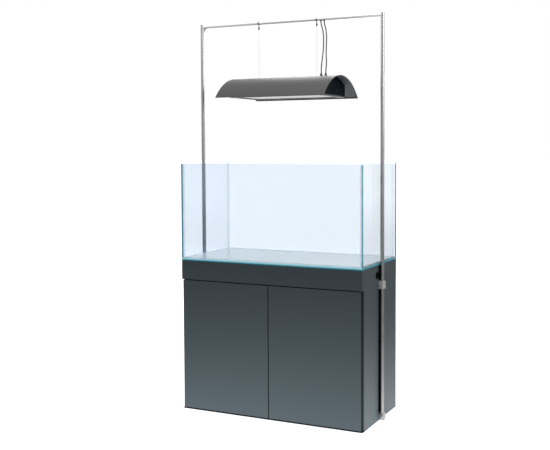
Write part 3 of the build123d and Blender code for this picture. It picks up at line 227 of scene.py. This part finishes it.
class Nodes:
    """A node tree, with short ways to add nodes to it."""

    def __init__(self, tree):
        self.tree = tree

    def link(self, source, target):
        self.tree.links.new(source, target)

    def feed(self, socket, value):
        """Give a socket a number, a colour or another node's output."""
        if isinstance(value, (int, float)):
            socket.default_value = value
        elif isinstance(value, tuple):
            socket.default_value = (*value, 1.0)
        else:
            self.link(value, socket)

    def spread(self, source, low, high, from_low=0.0, from_high=1.0):
        """The source's range, stretched to run from low to high."""
        node = self.tree.nodes.new("ShaderNodeMapRange")
        node.inputs["From Min"].default_value = from_low
        node.inputs["From Max"].default_value = from_high
        node.inputs["To Min"].default_value = low
        node.inputs["To Max"].default_value = high
        self.link(source, node.inputs["Value"])
        return node.outputs["Result"]

    def mix(self, factor, first, second, blend="MIX"):
        """A blend of two colours."""
        node = self.tree.nodes.new("ShaderNodeMix")
        node.data_type = "RGBA"
        node.blend_type = blend
        for index, value in ((0, factor), (6, first), (7, second)):
            self.feed(node.inputs[index], value)
        return node.outputs[2]

    def mix_shaders(self, factor, first, second):
        node = self.tree.nodes.new("ShaderNodeMixShader")
        for socket, source in zip(node.inputs, (factor, first, second)):
            self.link(source, socket)
        return node.outputs[0]

    def part(self, vector, name):
        """One coordinate of a vector."""
        node = self.tree.nodes.new("ShaderNodeSeparateXYZ")
        self.link(vector, node.inputs[0])
        return node.outputs[name]

    def for_camera(self, unseen, seen):
        """One shader for the light that reaches other surfaces, and another for the picture."""
        path = self.tree.nodes.new("ShaderNodeLightPath")
        return self.mix_shaders(path.outputs["Is Camera Ray"], unseen, seen)


class Paint(Nodes):
    """A node material with one Principled shader, and short ways to texture it."""

    def __init__(self, name, **settings):
        self.material = bpy.data.materials.new(name)
        self.material.use_nodes = True
        super().__init__(self.material.node_tree)
        self.shader = self.tree.nodes["Principled BSDF"]
        self.surface = self.tree.nodes["Material Output"].inputs["Surface"]
        for socket, value in settings.items():
            self.shader.inputs[socket.replace("_", " ")].default_value = value
        self.place = self.tree.nodes.new("ShaderNodeTexCoord").outputs["Object"]

    def noise(self, scale, detail=2.0, stretch=(1, 1, 1)):
        mapping = self.tree.nodes.new("ShaderNodeMapping")
        mapping.inputs["Scale"].default_value = stretch
        self.link(self.place, mapping.inputs["Vector"])
        node = self.tree.nodes.new("ShaderNodeTexNoise")
        node.inputs["Scale"].default_value = scale
        node.inputs["Detail"].default_value = detail
        self.link(mapping.outputs["Vector"], node.inputs["Vector"])
        return node.outputs["Fac"]

    def cells(self, scale):
        node = self.tree.nodes.new("ShaderNodeTexVoronoi")
        node.inputs["Scale"].default_value = scale
        self.link(self.place, node.inputs["Vector"])
        return node.outputs["Color"]

    def math(self, operation, first, second=0.0):
        node = self.tree.nodes.new("ShaderNodeMath")
        node.operation = operation
        self.feed(node.inputs[0], first)
        self.feed(node.inputs[1], second)
        return node.outputs[0]

    def size(self, source):
        """The source without its sign."""
        return self.math("ABSOLUTE", source)

    def ramp(self, source, *stops):
        """Colours by the source's value: each stop is a position and a colour."""
        node = self.tree.nodes.new("ShaderNodeValToRGB")
        bar = node.color_ramp.elements
        while len(bar) < len(stops):
            bar.new(0.5)
        for element, (position, colour) in zip(bar, stops):
            element.position = position
            element.color = (*colour, 1.0)
        self.link(source, node.inputs["Fac"])
        return node.outputs["Color"]

    def axis(self, name):
        """One coordinate of the point on the surface, in metres."""
        return self.part(self.place, name)

    def facing(self, direction):
        """How far the surface faces along a fixed direction of the object, from -1 to 1."""
        normal = self.tree.nodes.new("ShaderNodeNewGeometry").outputs["True Normal"]
        node = self.tree.nodes.new("ShaderNodeVectorMath")
        node.operation = "DOT_PRODUCT"
        node.inputs[1].default_value = direction
        self.link(normal, node.inputs[0])
        return node.outputs["Value"]

    def bump(self, height, distance):
        node = self.tree.nodes.new("ShaderNodeBump")
        node.inputs["Distance"].default_value = distance
        node.inputs["Strength"].default_value = 1.0
        self.link(height, node.inputs["Height"])
        self.link(node.outputs["Normal"], self.shader.inputs["Normal"])

    def colour(self, source):
        self.link(source, self.shader.inputs["Base Color"])

    def rough(self, source):
        self.link(source, self.shader.inputs["Roughness"])


X_AXIS = (1, 0, 0)
Y_AXIS = (0, 1, 0)
Z_AXIS = (0, 0, 1)

materials = {}

# ======================= Cabinet =======================
CABINET_HEIGHT = 0.70
# Painted shade: the lacquer's colour goes from a lighter low colour to a darker high colour up
# the cabinet, standing in for how the light falls
LACQUER_PAINTED_LIGHT_LOW = (0.092, 0.122, 0.138)
LACQUER_PAINTED_SHADE_HIGH = (0.036, 0.048, 0.054)
SHADE_FADE_MIDDLE = 0.4
SHADE_SHARE = 0.38  # share of the high colour at the fade's middle
# Painted shade in the gaps beside the doors: their upright edges, and their rounding at the
# middle seam, are made near black
DOOR_EDGE_PAINTED_SHADE = (0.004, 0.005, 0.006)
SEAM_LIMIT, OUTER_LIMIT = 0.2, 0.75  # how far sideways a door's edge has to face
SEAM_REACH, OUTER_REACH = 0.1, 0.3  # where each limit holds, from the middle


def lacquer(name, painted_shade_edges=False):
    """Satin metallic lacquer with painted shade, darker higher up and lighter low down as the
    light falls, with fine flakes, mottling and orange peel.

    The doors' upright edges are painted near black as shade in the gaps beside them, and at the
    seam in the middle their rounding is too.
    """
    paint = Paint(
        name,
        Metallic=0.2,
        Coat_Weight=0.05,
        Coat_Roughness=0.35,
        Specular_IOR_Level=0.25,
    )
    # Painted shade by height: the colour darkens from the bottom of the cabinet to its top
    height = paint.spread(paint.axis("Z"), 0.0, 1.0, 0.0, CABINET_HEIGHT)
    middle = tuple(
        (1 - SHADE_SHARE) * low + SHADE_SHARE * high for low, high in zip(LACQUER_PAINTED_LIGHT_LOW, LACQUER_PAINTED_SHADE_HIGH)
    )
    base = paint.ramp(height, (0.0, LACQUER_PAINTED_LIGHT_LOW), (SHADE_FADE_MIDDLE, middle), (1.0, LACQUER_PAINTED_SHADE_HIGH))
    cloud = paint.spread(paint.noise(scale=3.0, detail=3.0), 0.93, 1.07)
    flake = paint.spread(paint.cells(2600.0), 0.90, 1.12)
    shade = paint.math("MULTIPLY", cloud, flake)
    grey = paint.ramp(shade, (0.0, (0, 0, 0)), (1.0, (1, 1, 1)))
    tone = paint.mix(1.0, base, grey, "MULTIPLY")
    # Painted shade: near black on the doors' upright edges, standing in for the shade in the gaps
    if painted_shade_edges:
        off_middle = paint.size(paint.axis("X"))
        edge_limit = paint.spread(
            off_middle, SEAM_LIMIT, OUTER_LIMIT, SEAM_REACH, OUTER_REACH
        )
        edge = paint.math("GREATER_THAN", paint.size(paint.facing(X_AXIS)), edge_limit)
        tone = paint.mix(edge, tone, DOOR_EDGE_PAINTED_SHADE)
    paint.colour(tone)
    paint.rough(paint.spread(paint.noise(scale=40.0, detail=3.0), 0.38, 0.46))
    paint.bump(paint.noise(scale=520.0, detail=2.0), distance=0.00003)
    return paint.material


materials["lacquered_board"] = lacquer("lacquered_board")
materials["door_lacquer_painted_shade"] = lacquer("door_lacquer_painted_shade", painted_shade_edges=True)

# Board inside the cabinet: dark melamine with a faint upright grain and fine specks
paint = Paint("carcass_board", Roughness=0.5)
grain = paint.noise(scale=60.0, detail=5.0, stretch=(1.0, 1.0, 9.0))
speck = paint.noise(scale=1400.0, detail=1.0)
paint.colour(
    paint.mix(
        0.25,
        paint.ramp(grain, (0.3, (0.046, 0.049, 0.052)), (0.7, (0.064, 0.067, 0.071))),
        paint.ramp(speck, (0.4, (0.035, 0.036, 0.038)), (0.6, (0.090, 0.092, 0.095))),
    )
)
paint.rough(paint.spread(speck, 0.42, 0.58))
paint.bump(speck, distance=0.00004)
materials["carcass_board"] = paint.material

# ======================= Plastics, rubbers and metals =======================
LINE_SHARE = 0.6  # share of a brushed metal's fine lines in its tone


def moulded(name, dark, light, rough, grain_scale=900.0, depth=0.00004, **settings):
    """Moulded plastic, rubber or foam: a fine even grain in colour, roughness and bump."""
    paint = Paint(name, **settings)
    grain = paint.noise(grain_scale, detail=3.0)
    broad = paint.noise(scale=25.0, detail=2.0)
    tone = paint.math("MULTIPLY", grain, broad)
    paint.colour(paint.ramp(tone, (0.12, dark), (0.42, light)))
    paint.rough(paint.spread(grain, *rough))
    paint.bump(grain, depth)
    return paint.material


def brushed(name, dark, light, rough, stretch, scale=900.0, metallic=1.0):
    """Brushed or drawn metal: fine lines along one direction, with soft tonal changes."""
    paint = Paint(name, Metallic=metallic)
    lines = paint.noise(scale, detail=3.0, stretch=stretch)
    broad = paint.noise(scale=6.0, detail=2.0)
    fine_part = paint.math("MULTIPLY", lines, LINE_SHARE)
    broad_part = paint.math("MULTIPLY", broad, 1 - LINE_SHARE)
    tone = paint.math("ADD", fine_part, broad_part)
    paint.colour(paint.ramp(tone, (0.30, dark), (0.70, light)))
    paint.rough(paint.spread(lines, *rough, from_low=0.3, from_high=0.7))
    paint.bump(lines, distance=0.00001)
    return paint.material


MOULDED = {
    "channel_black": dict(
        dark=(0.002, 0.003, 0.003),
        light=(0.008, 0.009, 0.010),
        rough=(0.55, 0.70),
        Specular_IOR_Level=0.1,
    ),
    "grommet_rubber": dict(
        dark=(0.002, 0.002, 0.002),
        light=(0.006, 0.006, 0.007),
        rough=(0.60, 0.75),
        Specular_IOR_Level=0.05,
    ),
    "black_steel": dict(
        dark=(0.006, 0.006, 0.007),
        light=(0.014, 0.014, 0.016),
        rough=(0.40, 0.55),
        Metallic=0.5,
    ),
    "nylon": dict(
        dark=(0.60, 0.58, 0.52),
        light=(0.74, 0.72, 0.66),
        rough=(0.35, 0.48),
        Subsurface_Weight=0.1,
    ),
    "black_plastic": dict(
        dark=(0.010, 0.010, 0.011),
        light=(0.024, 0.024, 0.026),
        rough=(0.30, 0.42),
    ),
    # Foam mat under the tank: dark teal-blue as painted shade along the thin line beneath the
    # tank's bottom
    "mat_foam": dict(
        dark=(0.015, 0.075, 0.115),
        light=(0.030, 0.115, 0.165),
        rough=(0.80, 0.95),
        grain_scale=1500.0,
        depth=0.0002,
    ),
    "housing_paint": dict(
        dark=(0.003, 0.006, 0.009),
        light=(0.009, 0.015, 0.021),
        rough=(0.55, 0.70),
        grain_scale=600.0,
        Specular_IOR_Level=0.02,
    ),
    "ceramic": dict(
        dark=(0.66, 0.63, 0.57),
        light=(0.80, 0.77, 0.71),
        rough=(0.35, 0.50),
        grain_scale=700.0,
    ),
    "cord_rubber": dict(
        dark=(0.050, 0.050, 0.051),
        light=(0.105, 0.105, 0.107),
        rough=(0.40, 0.55),
        grain_scale=1200.0,
    ),
}
BRUSHED = {
    "stand_steel": dict(
        dark=(0.38, 0.375, 0.38),
        light=(0.54, 0.53, 0.53),
        rough=(0.24, 0.36),
        stretch=(1.0, 1.0, 0.02),
    ),
    # Painted highlight: a near-white copy of the stand's steel for the top bar and ridge anchors,
    # standing in for the light falling on the bar
    "bar_steel_painted_highlight": dict(
        dark=(0.84, 0.84, 0.85),
        light=(0.97, 0.97, 0.98),
        rough=(0.16, 0.26),
        stretch=(0.02, 1.0, 1.0),
        metallic=0.3,
    ),
    "clamp_steel": dict(
        dark=(0.44, 0.44, 0.44),
        light=(0.62, 0.61, 0.61),
        rough=(0.24, 0.36),
        stretch=(1.0, 1.0, 1.0),
        metallic=0.5,
    ),
    "hardware_steel": dict(
        dark=(0.50, 0.50, 0.50),
        light=(0.68, 0.67, 0.66),
        rough=(0.20, 0.32),
        stretch=(1.0, 1.0, 1.0),
        scale=1500.0,
    ),
    "wire_steel": dict(
        dark=(0.45, 0.45, 0.46),
        light=(0.60, 0.60, 0.60),
        rough=(0.25, 0.35),
        stretch=(1.0, 1.0, 0.2),
        scale=3000.0,
    ),
    "reflector_sheet": dict(
        dark=(0.78, 0.79, 0.80),
        light=(0.90, 0.90, 0.91),
        rough=(0.06, 0.16),
        stretch=(0.03, 1.0, 1.0),
        scale=700.0,
    ),
}
for name, look in MOULDED.items():
    materials[name] = moulded(name, **look)
for name, look in BRUSHED.items():
    materials[name] = brushed(name, **look)

# ======================= Lamp =======================
LEVEL_FACING = 0.5
FRAME_SIDE_PAINTED_SHADE = (0.045, 0.045, 0.047)

# Glass frame: satin silver on its level faces as a painted reflection of the bright floor, and
# near black on its upright ones as painted shade
paint = Paint("frame_paint", Metallic=0.6)
grain = paint.noise(scale=600.0, detail=3.0)
level = paint.math("GREATER_THAN", paint.size(paint.facing(Z_AXIS)), LEVEL_FACING)
silver_painted_reflection = paint.ramp(grain, (0.3, (0.66, 0.65, 0.65)), (0.7, (0.80, 0.79, 0.79)))
# Painted light by face direction: painted reflection on the level faces, painted shade on the
# upright ones
paint.colour(paint.mix(level, FRAME_SIDE_PAINTED_SHADE, silver_painted_reflection))
paint.rough(paint.spread(grain, 0.30, 0.42))
paint.bump(grain, distance=0.00004)
materials["frame_paint"] = paint.material

# Powder-coated hood: warm dark grey with a fine pebbled skin, and painted light on its hollow
# side, which is lighter where the surface faces towards the lamp's middle plane
paint = Paint("hood_paint", Metallic=0.1, Specular_IOR_Level=0.3)
pebble = paint.noise(scale=1100.0, detail=3.0)
blotch = paint.noise(scale=4.0, detail=2.0)
outside = paint.mix(
    0.35,
    paint.ramp(pebble, (0.35, (0.036, 0.035, 0.034)), (0.65, (0.057, 0.056, 0.054))),
    paint.ramp(blotch, (0.3, (0.041, 0.040, 0.039)), (0.7, (0.051, 0.050, 0.049))),
)
# Painted light: the hollow inner side is much lighter than the outside, standing in for light
# from below
inside_painted_light = paint.ramp(pebble, (0.35, (0.150, 0.152, 0.155)), (0.65, (0.200, 0.202, 0.205)))
outward = paint.math("MULTIPLY", paint.axis("Y"), paint.facing(Y_AXIS))
hollow_painted_light = paint.math("LESS_THAN", outward, 0.0)
paint.colour(paint.mix(hollow_painted_light, outside, inside_painted_light))
paint.rough(paint.spread(pebble, 0.40, 0.52, from_low=0.3, from_high=0.7))
paint.bump(pebble, distance=0.00005)
materials["hood_paint"] = paint.material

# Quartz envelope of the discharge bulb
paint = Paint("bulb_glass", Roughness=0.06, Alpha=0.35, Coat_Weight=0.8, Coat_Roughness=0.03)
film = paint.noise(scale=90.0, detail=3.0)
paint.colour(paint.ramp(film, (0.3, (0.80, 0.80, 0.74)), (0.7, (0.92, 0.92, 0.88))))
paint.rough(paint.spread(film, 0.05, 0.12))
materials["bulb_glass"] = paint.material

# Twin fluorescent tubes: coated glass, and a white plastic base past its end
TUBE_BASE_X = 0.1560
paint = Paint("tube_glass", Coat_Weight=0.7, Coat_Roughness=0.05)
past_base = paint.math("GREATER_THAN", paint.axis("X"), TUBE_BASE_X)
bloom = paint.noise(scale=35.0, detail=3.0)
coated = paint.ramp(bloom, (0.3, (0.86, 0.87, 0.88)), (0.7, (0.95, 0.95, 0.95)))
grain = paint.noise(scale=800.0, detail=2.0)
plastic = paint.ramp(grain, (0.3, (0.62, 0.62, 0.60)), (0.7, (0.72, 0.72, 0.70)))
paint.colour(paint.mix(past_base, coated, plastic))
paint.rough(paint.spread(bloom, 0.25, 0.40))
materials["tube_glass"] = paint.material

# ======================= Glass and silicone =======================
HEAD_ON_GLOSS = 0.04
GLOSS_POWER = 5.0
MIRROR_ROUGHNESS = 0.02
BROAD_FACING = 0.9  # a face that looks less than this along the thickness is an edge
RIM_FACING = 0.7  # an edge that looks more than this up or down is a rim
# The crest is a painted highlight along the top of an edge
HIGHLIGHT_CREST_LEAST = 0.15  # how much of its crest an edge that looks sideways keeps
EDGE_FADE_REACH = 0.21  # an edge's opacity changes within this distance of the middle
# Past this, the end panes' edges carry a painted dark reflection
OUTER_EDGE_X = 0.4474  # the end panes' edges are dark further out than this
HAZE_TONE = (0.90, 1.0, 1.0)
# Colour of the painted highlight on the crest of the bottom pane's edges
CREST_PAINTED_HIGHLIGHT = (0.48, 0.88, 0.98)
# Teal of the front pane's edges, also the painted dark reflection on the end panes' outer edge
# strips
EDGE_TEAL_AND_PAINTED_REFLECTION = (0.010, 0.240, 0.340)
SLATE = (0.040, 0.060, 0.070)
PALE_CYAN = (0.16, 0.58, 0.72)
BAND_TEAL = (0.030, 0.260, 0.330)
LAMP_EDGE_GREEN = (0.30, 0.48, 0.44)
FACE_TINT = (0.928, 0.950, 0.972)
RIGHT_TINT = (0.958, 0.977, 0.992)
LEFT_TINT = (0.905, 0.930, 0.965)
BASE_TINT = (0.93, 0.96, 0.98)
LAMP_TINT = (0.95, 0.97, 0.965)


def pane_glass(
    name,
    across,
    tint,
    edge_colour,
    edge_alphas,
    along="Y",
    rim_alpha=0.25,
    haze=0.0,
    crest=None,
    edge_gloss=1.0,
    outer_alphas=None,
):
    """Sheet glass: clear on its two broad faces, coloured on its narrow edges.

    across is the direction of its thickness. The opacity of its upright edges goes from the
    first of edge_alphas to the second along an axis, that of their outer strip, which carries a
    painted dark reflection, does so by outer_alphas, and its rims have rim_alpha. haze is the
    opacity of its broad faces. Its edges carry a painted highlight, pale between the two given
    heights, the front one most.
    """
    paint = Paint(
        name,
        Roughness=0.04,
        Specular_IOR_Level=0.5 * edge_gloss,
        Coat_Weight=0.6 * edge_gloss,
        Coat_Roughness=0.03,
    )
    nodes = paint.tree.nodes
    edge = paint.math("LESS_THAN", paint.size(paint.facing(across)), BROAD_FACING)
    rim = paint.math("GREATER_THAN", paint.size(paint.facing(Z_AXIS)), RIM_FACING)

    edge_tone = paint.ramp(
        paint.noise(scale=70.0, detail=3.0, stretch=(1.0, 1.0, 0.35)),
        (0.30, tuple(0.70 * part for part in edge_colour)),
        (0.55, edge_colour),
        (0.75, tuple(min(1.0, 1.3 * part + 0.03) for part in edge_colour)),
    )
    # Painted highlight: the edges turn pale towards the top of the crest, most on the front
    if crest:
        frontal = paint.spread(paint.size(paint.facing(Y_AXIS)), HIGHLIGHT_CREST_LEAST, 1.0)
        rise = paint.spread(paint.axis("Z"), 0.0, 1.0, *crest)
        edge_tone = paint.mix(paint.math("MULTIPLY", frontal, rise), edge_tone, CREST_PAINTED_HIGHLIGHT)

    edge_alpha = paint.spread(paint.axis(along), *edge_alphas, -EDGE_FADE_REACH, EDGE_FADE_REACH)
    if outer_alphas:
        # Painted reflection: the outer strip of the end panes' edges turns dark teal, standing in
        # for internal reflection at the corners
        outer = paint.math("GREATER_THAN", paint.size(paint.axis("X")), OUTER_EDGE_X)
        edge_tone = paint.mix(outer, edge_tone, EDGE_TEAL_AND_PAINTED_REFLECTION)
        outer_alpha = paint.spread(
            paint.axis(along), *outer_alphas, -EDGE_FADE_REACH, EDGE_FADE_REACH
        )
        outer_change = paint.math("SUBTRACT", outer_alpha, edge_alpha)
        edge_alpha = paint.math("ADD", edge_alpha, paint.math("MULTIPLY", outer, outer_change))
    rim_change = paint.math("SUBTRACT", rim_alpha, edge_alpha)
    edge_alpha = paint.math("ADD", edge_alpha, paint.math("MULTIPLY", rim, rim_change))
    over_haze = paint.math("MULTIPLY", edge, paint.math("SUBTRACT", edge_alpha, haze))
    opacity = paint.math("ADD", over_haze, haze)
    paint.colour(paint.mix(edge, HAZE_TONE, edge_tone))

    clear = nodes.new("ShaderNodeBsdfTransparent")
    deeper = tuple(0.99 * part for part in tint)
    wave = paint.noise(scale=2.0, detail=1.0)
    paint.link(paint.ramp(wave, (0.3, deeper), (0.7, tint)), clear.inputs["Color"])
    mirror = nodes.new("ShaderNodeBsdfGlossy")
    mirror.inputs["Roughness"].default_value = MIRROR_ROUGHNESS
    slant = nodes.new("ShaderNodeLayerWeight").outputs["Facing"]
    gloss = paint.spread(paint.math("POWER", slant, GLOSS_POWER), HEAD_ON_GLOSS, 1.0)
    sheet = paint.mix_shaders(gloss, clear.outputs[0], mirror.outputs[0])
    paint.link(paint.mix_shaders(opacity, sheet, paint.shader.outputs[0]), paint.surface)
    return paint.material


base_low, base_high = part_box("tank_bottom")
GLASS = {
    "glass_front": dict(
        across=Y_AXIS,
        tint=FACE_TINT,
        edge_colour=EDGE_TEAL_AND_PAINTED_REFLECTION,
        edge_alphas=(0.95, 0.95),
        edge_gloss=0.3,
    ),
    "glass_back": dict(
        across=Y_AXIS,
        tint=FACE_TINT,
        edge_colour=SLATE,
        edge_alphas=(0.06, 0.97),
        along="X",
        edge_gloss=0.15,
    ),
    "glass_left": dict(
        across=X_AXIS,
        tint=LEFT_TINT,
        edge_colour=PALE_CYAN,
        edge_alphas=(0.40, 0.08),
        edge_gloss=0.3,
        outer_alphas=(0.95, 0.15),
    ),
    "glass_right": dict(
        across=X_AXIS,
        tint=RIGHT_TINT,
        edge_colour=PALE_CYAN,
        edge_alphas=(0.50, 0.10),
        edge_gloss=0.3,
        outer_alphas=(0.95, 0.95),
    ),
    "glass_bottom": dict(
        across=Z_AXIS,
        tint=BASE_TINT,
        edge_colour=BAND_TEAL,
        edge_alphas=(0.97, 0.97),
        rim_alpha=0.0,
        haze=0.74,
        crest=(base_low.z + 0.002, base_high.z - 0.001),
    ),
    "glass_lamp": dict(
        across=Z_AXIS,
        tint=LAMP_TINT,
        edge_colour=LAMP_EDGE_GREEN,
        edge_alphas=(0.9, 0.9),
    ),
}
for name, look in GLASS.items():
    materials[name] = pane_glass(name, **look)

# Clear silicone: nearly see-through, with a soft waxy gloss
paint = Paint("silicone", Roughness=0.25, Alpha=0.22)
ripple = paint.noise(scale=160.0, detail=3.0)
paint.colour(paint.ramp(ripple, (0.3, (0.66, 0.90, 0.97)), (0.7, (0.78, 0.96, 1.0))))
paint.rough(paint.spread(ripple, 0.18, 0.34))
paint.bump(ripple, distance=0.0002)
materials["silicone"] = paint.material

# ======================= Which piece has which material =======================
OWN_FINISH = {
    "tank_front": "glass_front",
    "tank_back": "glass_back",
    "tank_left": "glass_left",
    "tank_right": "glass_right",
    "tank_bottom": "glass_bottom",
    "lamp_glass": "glass_lamp",
    "door_left": "door_lacquer_painted_shade",
    "door_right": "door_lacquer_painted_shade",
    "crossbar": "bar_steel_painted_highlight",
    "ridge_anchors": "bar_steel_painted_highlight",
    "upper_clamp_left": "clamp_steel",
    "upper_clamp_right": "clamp_steel",
}
for subpart in frame["record"]["subparts"]:
    finish = OWN_FINISH.get(subpart["node"], subpart["material_slot"])
    slots = frame["nodes"][subpart["node"]].data.materials
    slots.clear()
    slots.append(materials[finish])
for cord in cords:
    cord.data.materials.append(materials["cord_rubber"])
for wire in wires:
    wire.data.materials.append(materials["wire_steel"])

# ======================= Floor =======================
# The floor is seen as plain white, with a painted shadow that makes it dark under the cabinet. As
# a light it is bright near the object, dim further out, and stronger again far behind it.
FLOOR_REACH = 60.0
FLOOR_GLOW = 0.42
UNDER_CABINET_PAINTED_SHADOW = (0.03, 0.03, 0.03)
CABINET_HALF_WIDTH = 0.450
CABINET_HALF_DEPTH = 0.225
CONTACT_FADE = 0.003
GLOW_REACH = 12.0
GLOW_STOPS = ((0.05, 1.0), (0.12, 0.46), (0.25, 0.08), (0.55, 0.20), (1.0, 0.38))
BEHIND_FROM, BEHIND_TO = 4.0, 16.0
NEAR_STRENGTH, BEHIND_STRENGTH = 1.15, 2.7

paint = Paint("floor_paint", Roughness=0.7, Emission_Color=(1.0, 1.0, 1.0, 1.0))
past_side = paint.math("SUBTRACT", paint.size(paint.axis("X")), CABINET_HALF_WIDTH)
past_front = paint.math("SUBTRACT", paint.size(paint.axis("Y")), CABINET_HALF_DEPTH)
beyond = paint.math("MAXIMUM", past_side, past_front)
uncovered = paint.spread(beyond, 0.0, 1.0, 0.0, CONTACT_FADE)
glow = paint.math("MULTIPLY", uncovered, FLOOR_GLOW)
paint.link(glow, paint.shader.inputs["Emission Strength"])
blotch = paint.noise(scale=1.5, detail=2.0)
pale = paint.ramp(blotch, (0.3, (0.86, 0.86, 0.86)), (0.7, (0.89, 0.89, 0.89)))
# Painted shadow: the floor's colour is near black under the cabinet's footprint
paint.colour(paint.mix(uncovered, UNDER_CABINET_PAINTED_SHADOW, pale))

distance = paint.tree.nodes.new("ShaderNodeVectorMath")
distance.operation = "LENGTH"
paint.link(paint.place, distance.inputs[0])
outwards = paint.spread(distance.outputs["Value"], 0.0, 1.0, 0.0, GLOW_REACH)
glow_colour = paint.ramp(outwards, *((stop, (grey, grey, grey)) for stop, grey in GLOW_STOPS))
behind = paint.spread(paint.axis("Y"), NEAR_STRENGTH, BEHIND_STRENGTH, BEHIND_FROM, BEHIND_TO)
lit = paint.tree.nodes.new("ShaderNodeEmission")
paint.link(glow_colour, lit.inputs["Color"])
paint.link(paint.math("MULTIPLY", uncovered, behind), lit.inputs["Strength"])
paint.link(paint.for_camera(lit.outputs[0], paint.shader.outputs[0]), paint.surface)
paint.material.cycles.emission_sampling = "NONE"

floor = add_mesh(
    "floor",
    [
        (-FLOOR_REACH, -FLOOR_REACH, 0.0),
        (FLOOR_REACH, -FLOOR_REACH, 0.0),
        (FLOOR_REACH, FLOOR_REACH, 0.0),
        (-FLOOR_REACH, FLOOR_REACH, 0.0),
    ],
    [(0, 1, 2, 3)],
    smooth=False,
)
floor.data.materials.append(paint.material)

# ======================= Lights =======================
AIM = Vector((0.0, 0.0, 0.8))
SOFTBOXES = {
    "softbox_top": dict(place=(0.3, -0.4, 4.2), size=3.0, power=50.0),
    "softbox_right": dict(place=(3.6, -1.6, 2.6), size=2.2, power=58.0),
    "softbox_left": dict(place=(-3.4, -2.2, 3.2), size=2.2, power=35.0),
    "softbox_back": dict(place=(-0.5, 3.8, 2.8), size=3.0, power=110.0),
}
for name, softbox in SOFTBOXES.items():
    light_data = bpy.data.lights.new(name, "AREA")
    light_data.shape = "SQUARE"
    light_data.size = softbox["size"]
    light_data.energy = softbox["power"]
    light = bpy.data.objects.new(name, light_data)
    scene.collection.objects.link(light)
    light.location = softbox["place"]
    light.rotation_euler = (AIM - light.location).to_track_quat("-Z", "Y").to_euler()

# ======================= Background =======================
# The backdrop is white. As a light it is a room that is bright behind the object and above it.
FRONT_WALL = (0.46, 0.47, 0.49)
BACK_WALL = (1.05, 1.06, 1.07)
CEILING = (0.95, 0.96, 0.97)
WALL_CHANGE = 0.4  # the walls' change from front to back ends at this Y of the direction
CEILING_FROM, CEILING_TO = 0.12, 0.60

world = bpy.data.worlds.new("room")
scene.world = world
world.use_nodes = True
room = Nodes(world.node_tree)
room_light = room.tree.nodes["Background"]
direction = room.tree.nodes.new("ShaderNodeTexCoord").outputs["Generated"]
backwards = room.spread(room.part(direction, "Y"), 0.0, 1.0, -WALL_CHANGE, WALL_CHANGE)
upwards = room.spread(room.part(direction, "Z"), 0.0, 1.0, CEILING_FROM, CEILING_TO)
walls = room.mix(backwards, FRONT_WALL, BACK_WALL)
room.link(room.mix(upwards, walls, CEILING), room_light.inputs["Color"])
backdrop = room.tree.nodes.new("ShaderNodeBackground")
backdrop.inputs["Color"].default_value = (1.0, 1.0, 1.0, 1.0)
room.link(
    room.for_camera(room_light.outputs[0], backdrop.outputs[0]),
    room.tree.nodes["World Output"].inputs["Surface"],
)

scene.view_settings.view_transform = "Standard"
scene.view_settings.look = "None"
scene.cycles.transparent_max_bounces = 32
